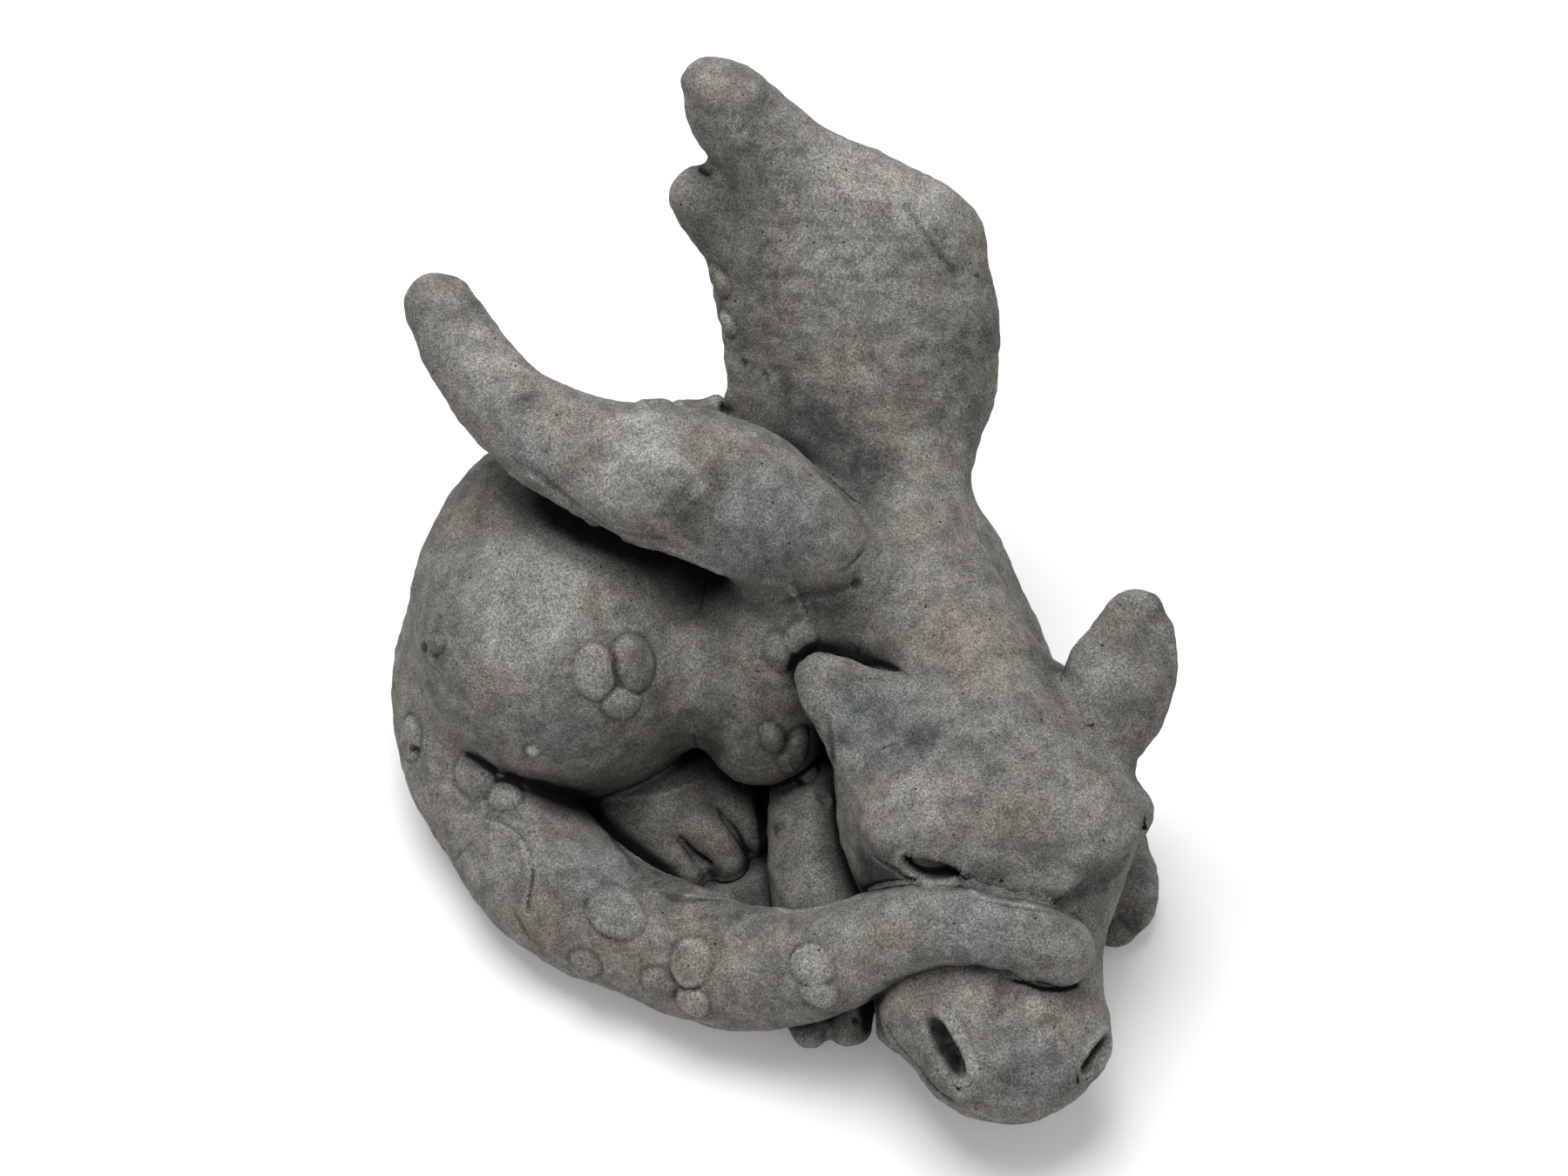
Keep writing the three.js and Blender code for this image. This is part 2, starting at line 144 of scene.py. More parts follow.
def through(points: Array, at: Array) -> Array:
    """A centripetal Catmull-Rom curve through points, as the CAD draws its spines.

    Args:
        points: The points, one row each.
        at: Places from 0 to 1 along the curve.

    Returns:
        The curve at those places, one row each.
    """
    points = np.asarray(points, np.float64)
    last = len(points) - 1
    ends = np.array([2 * points[0] - points[1], *points, 2 * points[-1] - points[-2]])
    span = np.minimum((at * last).astype(int), last - 1)
    weight = (at * last - span)[:, None]
    p0, p1, p2, p3 = (ends[span + n] for n in range(4))
    before, middle, after = (
        np.maximum(np.sum((b - a) ** 2, axis=1, keepdims=True) ** 0.25, 1e-4)
        for a, b in ((p0, p1), (p1, p2), (p2, p3))
    )
    start = ((p1 - p0) / before - (p2 - p0) / (before + middle) + (p2 - p1) / middle) * middle
    end = ((p2 - p1) / middle - (p3 - p1) / (middle + after) + (p3 - p2) / after) * middle
    cubic = 2 * p1 - 2 * p2 + start + end
    square = -3 * p1 + 3 * p2 - 2 * start - end
    return p1 + start * weight + square * weight**2 + cubic * weight**3


def smoothed(rows: Array, reach: int) -> Array:
    """Rows of a table evened out over a reach of rows to each side, running on at the ends."""
    for _ in range(2):
        head, tail = 2 * rows[0] - rows[reach:0:-1], 2 * rows[-1] - rows[-2 : -reach - 2 : -1]
        padded = np.concatenate((head, rows, tail))
        total = np.cumsum(np.concatenate((np.zeros((1, rows.shape[1])), padded)), axis=0)
        rows = (total[2 * reach + 1 :] - total[: -2 * reach - 1]) / (2 * reach + 1)
    return rows


def unit(rows: Array) -> Array:
    """Rows scaled to length one."""
    return rows / np.maximum(np.linalg.norm(rows, axis=-1, keepdims=True), 1e-9)


def shared_out(distance: Callable[[Array], Array], points: Array) -> Array:
    """Works out a distance for many points, block by block, with a few workers side by side."""
    cell = ((points - points.min(axis=0)) / CELL).astype(np.int64)
    order = np.argsort((cell[:, 0] * 256 + cell[:, 1]) * 256 + cell[:, 2], kind="stable")
    chunks = [order[start : start + CHUNK] for start in range(0, len(points), CHUNK)]
    found = np.empty(len(points), np.float32)
    with ThreadPoolExecutor(4) as workers:
        for chunk, values in zip(chunks, workers.map(lambda chunk: distance(points[chunk]), chunks)):
            found[chunk] = values
    return found


class Form:
    """A closed shape that knows how far any point is from it."""

    melt: float | Sequence[float]

    @cached_property
    def box(self) -> tuple[Array, Array]:
        """Lowest and highest corner of the form."""
        raise NotImplementedError

    def near(self, points: Array, within: float = 0.0) -> tuple[Array, Array | float]:
        """Distances of points that are close to the form, and how wide it melts there."""
        raise NotImplementedError

    def outline(self, around: int, rings: int, grow: float) -> Array:
        """Points of a sphere's rings laid onto the form, from pole to pole."""
        raise NotImplementedError

    @cached_property
    def care(self) -> float:
        """How far from the form its distance still has to be exact."""
        widest = float(np.max(self.melt))
        return max(widest + CARE, WIDEST if widest > CARE else 0.0)

    def measure(self, points: Array, within: float) -> tuple[Array, Array | float]:
        """Distances of points, exact only where they are near.

        Args:
            points: Points in millimetres, one row each.
            within: How far from the form the distance has to be exact at least.

        Returns:
            One distance for each point, negative inside, and how wide the form melts there.
        """
        low, high = self.box
        gap = np.maximum(np.maximum(low - points.max(axis=0), points.min(axis=0) - high), 0)
        apart = float(np.sqrt(gap @ gap))
        care = max(self.care, within)
        if apart > care:
            return np.full(len(points), apart, np.float32), 0.0
        outside = np.maximum(np.maximum(low - points, points - high), 0)
        away = np.sqrt(np.sum(outside * outside, axis=1))
        wide = np.zeros_like(away)
        close = away < care
        if close.any():
            away[close], wide[close] = self.near(points[close], within)
        return away, wide


@dataclass(frozen=True)
class Limb(Form):
    """A form drawn along a spine with elliptical sections and rounded ends.

    A station is x, y, z, half width and half height. The width lies across the spine and the
    height along up. With across, the sections keep that sideways direction. A stiff limb keeps its
    sections parallel, which suits a short and fat one.
    """

    stations: tuple[Station, ...]
    up: Triple = (0, 0, 1)
    across: Triple | None = None
    melt: float | tuple[float, ...] = 2.0
    stiff: bool = False

    @cached_property
    def places(self) -> Array:
        """Where the sections are worked out, from 0 to 1."""
        return np.linspace(0, 1, SAMPLES)

    @cached_property
    def sections(self) -> dict[str, Array]:
        """The spine, its axes and its sizes at every place."""
        rows = np.array(self.stations, np.float64)
        reach = max(int(SAMPLES * EVEN / (len(rows) - 1)), 1)
        centre = smoothed(through(rows[:, :3], self.places), reach)
        size = smoothed(through(rows[:, 3:5], self.places), reach)
        tangent = unit(np.gradient(centre, axis=0))
        if self.stiff:
            tangent = np.broadcast_to(unit(centre[-1] - centre[0]), centre.shape)
        if self.across:
            side = np.broadcast_to(np.array(self.across, float), centre.shape)
        else:
            side = unit(np.cross(np.array(self.up, float), tangent))
        high = unit(np.cross(tangent, side))
        speed = np.gradient(centre, self.places, axis=0)
        thin = size.min(axis=1, keepdims=True)
        shrink = -np.mean(np.gradient(size, self.places, axis=0) / size, axis=1, keepdims=True)
        taper = shrink / np.linalg.norm(speed, axis=1, keepdims=True)
        widths = np.atleast_1d(np.array(self.melt, float))
        melting = np.interp(self.places, np.linspace(0, 1, max(len(widths), 1)), widths)
        table = {
            "centre": centre,
            "tangent": tangent,
            "side": side,
            "high": high,
            "plane": np.cross(side, high),
            "size": size,
            "melt": melting[:, None],
            "speed": speed,
            "lean": np.sqrt(1 + (taper * thin) ** 2),
            "behind": taper * thin**2,
        }
        return {name: value.astype(np.float32) for name, value in table.items()}

    @cached_property
    def box(self) -> tuple[Array, Array]:
        """Lowest and highest corner of the form."""
        centre = self.sections["centre"]
        reach = self.sections["size"].max(axis=1, keepdims=True) * 1.05
        return (centre - reach).min(0), (centre + reach).max(0)

    def at(self, name: str, place: Array) -> Array:
        """One of the section values at places between the worked out ones."""
        spot = place * (SAMPLES - 1)
        low = np.minimum(spot.astype(np.int32), SAMPLES - 2)
        part = (spot - low)[:, None]
        table = self.sections[name]
        return table[low] * (1 - part) + table[low + 1] * part

    @cached_property
    def thick(self) -> float:
        """Farthest that the skin is from the spine's nearest rough place."""
        step = np.linalg.norm(np.diff(self.sections["centre"][::COARSE], axis=0), axis=1).max()
        return float(self.sections["size"].max() * 1.1 + step / 2)

    def rough(self, points: Array) -> tuple[Array, Array]:
        """The nearest rough place of the spine to each point, and how far off it is."""
        spots = self.sections["centre"][::COARSE]
        square = np.sum(spots * spots, axis=1) - 2 * (points @ spots.T)
        index = np.argmin(square, axis=1)
        least = square[np.arange(len(points)), index] + np.sum(points * points, axis=1)
        return index.astype(np.float32) * COARSE / (SAMPLES - 1), np.sqrt(np.maximum(least, 0))

    def near(self, points: Array, within: float = 0.0) -> tuple[Array, Array | float]:
        """Distances of points that are close to the form, and how wide it melts there."""
        place, away = self.rough(points)
        away -= self.thick
        wide = np.zeros_like(away)
        close = away < max(self.care, within)
        if close.any():
            away[close], wide[close] = self.on_section(points[close], place[close])
        return away, wide

    def on_section(self, points: Array, place: Array) -> tuple[Array, Array]:
        """Distances to the section that holds each point, and how wide the form melts there.

        Args:
            points: Points in millimetres, one row each.
            place: A place on the spine near each of them.

        Returns:
            One distance and one width for each point.
        """
        for _ in range(NEWTON_STEPS):
            plane = self.at("plane", place)
            ahead = np.sum((points - self.at("centre", place)) * plane, axis=1)
            rate = np.sum(self.at("speed", place) * plane, axis=1)
            place = np.clip(place + ahead / np.maximum(rate, 1e-3), 0, 1)
        offset = points - self.at("centre", place)
        side, tangent = self.at("side", place), self.at("tangent", place)
        plane, size = self.at("plane", place), self.at("size", place)
        along = np.sum(offset * plane, axis=1)
        along = along / np.maximum(np.sum(tangent * plane, axis=1), 0.2)
        wide = np.sum(offset * side, axis=1) - along * np.sum(tangent * side, axis=1)
        tall = np.sum(offset * self.at("high", place), axis=1)
        beyond = ((place >= 1) & (along > 0)) | ((place <= 0) & (along < 0))
        along = np.where(beyond, along + self.at("behind", place)[:, 0], 0)
        lean = self.at("lean", place)
        radii = np.c_[size, size.min(axis=1)] * np.where(beyond[:, None], lean, 1)
        away = ellipsoid_distance(np.stack((wide, tall, along), axis=1), radii)
        return away / np.where(beyond, 1, lean[:, 0]), self.at("melt", place)[:, 0]

    def outline(self, around: int, rings: int, grow: float) -> Array:
        """Points of a sphere's rings laid onto the form, from pole to pole."""
        found = []
        turns = np.arange(around) / around * 2 * math.pi
        for ring in range(rings + 1):
            in_cap = max(CAP_RINGS - ring, ring - (rings - CAP_RINGS), 0)
            place = np.clip((ring - CAP_RINGS) / (rings - 2 * CAP_RINGS), 0, 1)
            spot = np.array([place], np.float32)
            size = self.at("size", spot)[0] + grow
            angle = in_cap / CAP_RINGS * math.pi / 2
            reach = float(size.min()) * math.sin(angle) * (-1 if place < 0.5 else 1)
            centre = self.at("centre", spot)[0] + self.at("tangent", spot)[0] * reach
            if in_cap == CAP_RINGS:
                found.append(centre[None])
                continue
            wide = np.outer(np.cos(turns), self.at("side", spot)[0]) * -size[0]
            tall = np.outer(np.sin(turns), self.at("high", spot)[0]) * size[1]
            found.append(centre + (wide + tall) * math.cos(angle))
        return np.concatenate(found)


def ellipsoid_distance(local: Array, radii: Array) -> Array:
    """Distance of points to an ellipsoid on its own axes, close to exact near the skin.

    Args:
        local: Points on the ellipsoid's axes.
        radii: Its three half sizes, one row or one for each point.

    Returns:
        Signed distances.
    """
    scaled = local / radii
    first = np.sqrt(np.sum(scaled * scaled, axis=1))
    second = np.sqrt(np.sum((scaled / radii) ** 2, axis=1))
    inner = -np.broadcast_to(np.min(radii, axis=-1), first.shape)
    return np.where(second < 1e-6, inner, first * (first - 1) / np.maximum(second, 1e-6))


@dataclass(frozen=True)
class Lump(Form):
    """An ellipsoid whose own z axis points along normal, and its x axis along, where given."""

    centre: Triple
    radii: Triple
    normal: Triple = (0, 0, 1)
    melt: float = 3.0
    along: Triple | None = None

    @cached_property
    def turn(self) -> Array:
        """Rotation from the lump's axes to the sculpture's."""
        if self.along:
            z = unit(np.array(self.normal, float))
            y = unit(np.cross(z, np.array(self.along, float)))
            return np.stack((np.cross(y, z), y, z), axis=1).astype(np.float32)
        turned = Vector((0, 0, 1)).rotation_difference(Vector(self.normal))
        return np.array(turned.to_matrix(), np.float32)

    @cached_property
    def box(self) -> tuple[Array, Array]:
        """Lowest and highest corner of the form."""
        reach = np.sqrt(((self.turn * np.array(self.radii)) ** 2).sum(axis=1))
        centre = np.array(self.centre)
        return (centre - reach).astype(np.float32), (centre + reach).astype(np.float32)

    def near(self, points: Array, within: float = 0.0) -> tuple[Array, Array | float]:
        """Distances of points that are close to the form, and how wide it melts there."""
        local = (points - np.array(self.centre, np.float32)) @ self.turn
        return ellipsoid_distance(local, np.array(self.radii, np.float32)), self.melt

    def outline(self, around: int, rings: int, grow: float) -> Array:
        """Points of a sphere's rings laid onto the form, from pole to pole."""
        found = []
        turns = np.arange(around) / around * 2 * math.pi
        radii = np.array(self.radii) + grow
        for ring in range(rings + 1):
            angle = ring / rings * math.pi
            rim = np.c_[
                np.cos(turns) * math.sin(angle),
                np.sin(turns) * math.sin(angle),
                np.full(around, math.cos(angle)),
            ]
            rim = rim[:1] if ring in (0, rings) else rim
            found.append((rim * radii) @ self.turn.T + np.array(self.centre))
        return np.concatenate(found)


@dataclass(frozen=True)
class Slab(Form):
    """A low slab with a smooth outline, standing on the ground."""

    corners: tuple[tuple[float, float], ...]
    height: float
    melt: float = 6.0

    @cached_property
    def rim(self) -> Array:
        """The outline as a dense closed row of points."""
        count = len(self.corners)
        loop = [self.corners[(i - 1) % count] for i in range(count + 3)]
        places = np.linspace(1, count + 1, count * 6 + 1)[:-1] / (count + 2)
        return through(np.array(loop), places).astype(np.float32)

    @cached_property
    def plan(self) -> Array:
        """Distances to the outline on a grid of millimetres, seen from above."""
        low, high = (corner[:2] for corner in self.box)
        count = np.ceil(high - low + 2 * MARGIN).astype(int) + 2
        x, y = np.meshgrid(*(np.arange(n, dtype=np.float32) for n in count), indexing="ij")
        x, y = x + low[0] - MARGIN, y + low[1] - MARGIN
        best = np.full(x.shape, 1e9, np.float32)
        inside = np.zeros(x.shape, bool)
        for (cx, cy), (dx, dy) in zip(self.rim, np.roll(self.rim, -1, axis=0) - self.rim):
            part = np.clip(((x - cx) * dx + (y - cy) * dy) / (dx * dx + dy * dy), 0, 1)
            best = np.minimum(best, (x - cx - part * dx) ** 2 + (y - cy - part * dy) ** 2)
            spans = (cy > y) != (cy + dy > y)
            inside ^= spans & (x < cx + (y - cy) * dx / (dy if abs(dy) > 1e-6 else 1e-6))
        return np.sqrt(best) * np.where(inside, -1, 1).astype(np.float32)

    @cached_property
    def box(self) -> tuple[Array, Array]:
        """Lowest and highest corner of the form."""
        low, high = self.rim.min(0), self.rim.max(0)
        return np.array((*low, -1), np.float32), np.array((*high, self.height), np.float32)

    def near(self, points: Array, within: float = 0.0) -> tuple[Array, Array | float]:
        """Distances of points that are close to the form, and how wide it melts there."""
        spot = points[:, :2] - self.box[0][:2] + MARGIN
        cell = np.clip(spot.astype(np.int32), 0, np.array(self.plan.shape) - 2)
        x, y = (spot - cell).T
        i, j = cell.T
        near, far = (self.plan[i + n, j] * (1 - y) + self.plan[i + n, j + 1] * y for n in (0, 1))
        middle = (self.height - 1) / 2
        tall = np.abs(points[:, 2] - middle) - (self.height + 1) / 2
        return np.maximum(near * (1 - x) + far * x, tall), self.melt


# Masses and how they join


@dataclass(frozen=True)
class Mass:
    """One piece of the sculpture: forms that make one CAD node."""

    name: str
    forms: tuple[Form, ...]
    voxel: float = 1.0

    def measure(self, points: Array, own: dict[str, Array], within: float) -> tuple[Array, Array | float]:
        """Distances to the mass, also noted under its name, and how wide it melts into the rest."""
        found, wide = self.forms[0].measure(points, within)
        for form in self.forms[1:]:
            found = melt(found, *form.measure(points, within))
        own[self.name] = found
        return found, wide


@dataclass(frozen=True)
class Cluster:
    """Masses that melt into each other before they join the rest."""

    members: tuple[Mass | Cluster, ...]
    melt: float = 3.0

    def measure(self, points: Array, own: dict[str, Array], within: float) -> tuple[Array, Array | float]:
        """Distances to the cluster, those of each mass noted, and how wide it melts into the rest."""
        found, _ = self.members[0].measure(points, own, within)
        for member in self.members[1:]:
            found = melt(found, *member.measure(points, own, within))
        return found, self.melt

    def masses(self) -> list[Mass]:
        """Every mass in the cluster."""
        found: list[Mass] = []
        for member in self.members:
            found += member.masses() if isinstance(member, Cluster) else [member]
        return found


class Hue(Enum):
    """Ways in which the colour departs from the stone's middle tone; dark and pale patches also carry painted
    shade and painted highlights.
    """

    COOL = "cool"
    WARM = "warm"
    DARK = "dark"
    PALE = "pale"


class Touch(Enum):
    """What a detail does to the clay."""

    ADD = "add"
    TAKE = "take"
    SWELL = "swell"
    SINK = "sink"
    PAINT = "paint"


@dataclass(frozen=True)
class View:
    """The photograph's camera. Details are placed by the pixels at which they are seen."""

    aim: Triple = (0.0, 38.0, 60.0)
    away: float = 750.0
    elevation: float = 50.0
    lens: float = 60.0
    sensor: float = 36.0
    width: int = 1800
    height: int = 1350

    @property
    def back(self) -> Array:
        """The way from the figurine to the camera."""
        angle = math.radians(self.elevation)
        return np.array((0, -math.cos(angle), math.sin(angle)))

    def across(self, angle: float) -> Array:
        """The way over the picture at an angle in degrees, clockwise from the right."""
        turn = math.radians(angle)
        right = np.array((1.0, 0.0, 0.0))
        return right * math.cos(turn) - np.cross(self.back, right) * math.sin(turn)

    def rays(self, pixels: Array) -> tuple[Array, Array]:
        """Where the lines of sight through pixels start, and the way they go.

        Args:
            pixels: Column and row of each pixel.

        Returns:
            The camera's place as modelled and one direction for each pixel.
        """
        right = np.array((1.0, 0.0, 0.0))
        above = np.cross(self.back, right)
        pitch = self.sensor / self.width / self.lens
        x, y = (np.asarray(pixels, np.float64) - (self.width / 2, self.height / 2)).T * pitch
        ways = unit(x[:, None] * right - y[:, None] * above - self.back)
        start = np.array(self.aim) + self.back * self.away
        return start.astype(np.float32), ways.astype(np.float32)


@dataclass(frozen=True)
class Stain:
    """Colour at a detail: within its form, or round it where it stands proud. Some of it is painted shade and
    painted highlights.
    """

    hue: Hue = Hue.DARK
    strength: float = 0.8
    feather: float = 0.8

    def amount(self, away: Array, around: bool) -> Array:
        """How strong the colour is.

        Args:
            away: Distances of points to the detail's form.
            around: Whether the form itself stays clean.

        Returns:
            Strength at each point.
        """
        fade = np.clip(1 - np.maximum(away, 0) / self.feather, 0, 1)
        found = self.strength * fade * fade * (3 - 2 * fade)
        return found * np.clip(away / 0.35, 0, 1) if around else found


@dataclass(frozen=True)
class Detail:
    """A small form that is pressed onto, cut out of or painted on the joined masses."""

    touch: Touch
    form: Form
    radius: float = 1.0
    level: float = 0.0
    tint: Stain | None = None
    hollows: str = ""
    host: str = ""

    def worked(self, body: Array, tool: Array) -> Array:
        """The body with the detail in it.

        Args:
            body: Distances to the body.
            tool: Distances to the detail's form.

        Returns:
            Distances to what comes of it.
        """
        if self.touch is Touch.ADD:
            moat = self.level * MOAT_DEPTH * np.clip(1 - np.abs(tool) / MOAT_WIDTH, 0, 1)
            return melt(body + moat, tool, self.radius)
        if self.touch is Touch.TAKE:
            return carve(body, tool, self.radius)
        fade = np.clip(1 - np.maximum(tool, 0) / self.radius, 0, 1)
        height = self.level * fade * fade * (3 - 2 * fade)
        return body - height if self.touch is Touch.SWELL else body + height


@dataclass(frozen=True)
class Mark:
    """A detail as it is seen: pixels of the photograph, each with half width and half height.

    The level is how far it stands above the skin or goes below it. A mark of one pixel is a lump,
    which may be longer than wide, in the direction of an angle in degrees, clockwise from the right.
    A mark that hollows a piece is also cut out of its block.
    """

    touch: Touch
    path: tuple[tuple[float, float, float, float], ...]
    level: float = 0.0
    radius: float = 0.8
    tint: Stain | None = None
    hollows: str = ""
    long: float = 1.0
    angle: float = 0.0

    def detail(self, points: Array, facing: Array, view: View) -> Detail:
        """The detail on the skin.

        Args:
            points: Place on the skin for each point of the path.
            facing: The way the skin faces there.
            view: The photograph's camera.

        Returns:
            The form that is added or taken.
        """
        size = np.array(self.path)[:, 2:]
        lift = {Touch.ADD: 1, Touch.TAKE: -1}.get(self.touch, 0) * (self.level - size[:, 1:])
        centres = points + facing * lift
        up = tuple(unit(facing.mean(axis=0)).astype(float))
        if len(points) > 1:
            form = Limb(tuple(map(tuple, np.c_[centres, size].tolist())), up=up)
        else:
            wide, high = size[0]
            way = view.across(self.angle)
            along = way - facing[0] * (way @ facing[0])
            seen = max(float(np.linalg.norm(along)), LEAST_SEEN)
            sizes = (wide * self.long / seen, wide, high)
            form = Lump(tuple(centres[0]), sizes, up, along=tuple(along.astype(float)))
        return Detail(self.touch, form, self.radius, self.level, self.tint, self.hollows)


def half_chord(size: float, high: float, level: float) -> float:
    """Half width of a lens that shows with this size where it leaves the skin."""
    return size / math.sqrt(1 - ((high - level) / high) ** 2)


def scale(x: float, y: float, size: float, rise: float = 1.3, long: float = 1.0, angle: float = 0.0) -> Mark:
    """A round or oval scale, as a low disc with a dark line round it.

    Args:
        x: Column of its middle in the photograph.
        y: Row of its middle.
        size: Half width in millimetres.
        rise: How far it stands proud.
        long: Its length for a width of one.
        angle: Direction of the length in degrees, clockwise from the right.

    Returns:
        The mark.
    """
    rise *= SCALE_RISE
    high = rise * SCALE_DOME
    wide = half_chord(size, high, rise)
    rim = Stain(Hue.DARK, 0.8, 1.3)
    return Mark(Touch.ADD, ((x, y, wide, high),), rise, SCALE_MELT, rim, long=long, angle=angle)


def crease(*spots: tuple[float, float], wide: float = 0.6, deep: float = 0.7, dark: float = 0.85) -> Mark:
    """A groove, darker inside.

    Args:
        spots: Pixels that it runs through.
        wide: Half width in its middle, in millimetres.
        deep: Depth in its middle.
        dark: How much darker it is inside.

    Returns:
        The mark.
    """
    last = len(spots) - 1
    core = [CREASE_END + CREASE_CORE * wide * math.sin(math.pi * place / last) for place in range(last + 1)]
    path = tuple((x, y, size, size) for (x, y), size in zip(spots, core))
    tint = Stain(Hue.DARK, dark, wide + 0.2)
    return Mark(Touch.SINK, path, deep * CREASE_SLOPE, wide * CREASE_SLOPE, tint)


def ridge(*spots: tuple[float, float, float], rise: float) -> Mark:
    """A soft ridge through pixels, each with its half width in millimetres."""
    wide = sum(spot[2] for spot in spots) / len(spots)
    path = tuple((x, y, size * SOFT_CORE, size * SOFT_CORE) for x, y, size in spots)
    return Mark(Touch.SWELL, path, rise, wide)


def valley(*spots: tuple[float, float, float], deep: float) -> Mark:
    """A soft hollow through pixels, each with its half width in millimetres."""
    wide = sum(spot[2] for spot in spots) / len(spots)
    path = tuple((x, y, size * SOFT_CORE, size * SOFT_CORE) for x, y, size in spots)
    return Mark(Touch.SINK, path, deep, wide)


def patches(hue: Hue, *spots: tuple[float, float, float, float]) -> tuple[Mark, ...]:
    """Soft patches of one colour, each given as column, row, half width in millimetres and strength."""
    return tuple(
        Mark(
            Touch.PAINT,
            ((x, y, size * PATCH_CORE, size * PATCH_CORE),),
            0,
            0,
            Stain(hue, strength, size * PATCH_FADE),
        )
        for x, y, size, strength in spots
    )


def line(hue: Hue, strength: float, *spots: tuple[float, float], wide: float = 0.4) -> Mark:
    """A thin line of colour through pixels."""
    path = tuple((x, y, wide, wide) for x, y in spots)
    return Mark(Touch.PAINT, path, 0, 0, Stain(hue, strength, 0.6))


def pit(x: float, y: float, size: float = 0.6) -> Mark:
    """A pinhole."""
    return Mark(Touch.TAKE, ((x, y, size, size * PIT_DEPTH),), size, 0.3, Stain(Hue.DARK, 1.0, 0.5))


def chip(x: float, y: float, size: float = 0.8) -> Mark:
    """A place where the stain has come off."""
    return Mark(Touch.PAINT, ((x, y, size, size),), 0, 0, Stain(Hue.PALE, 1.0, 0.7))


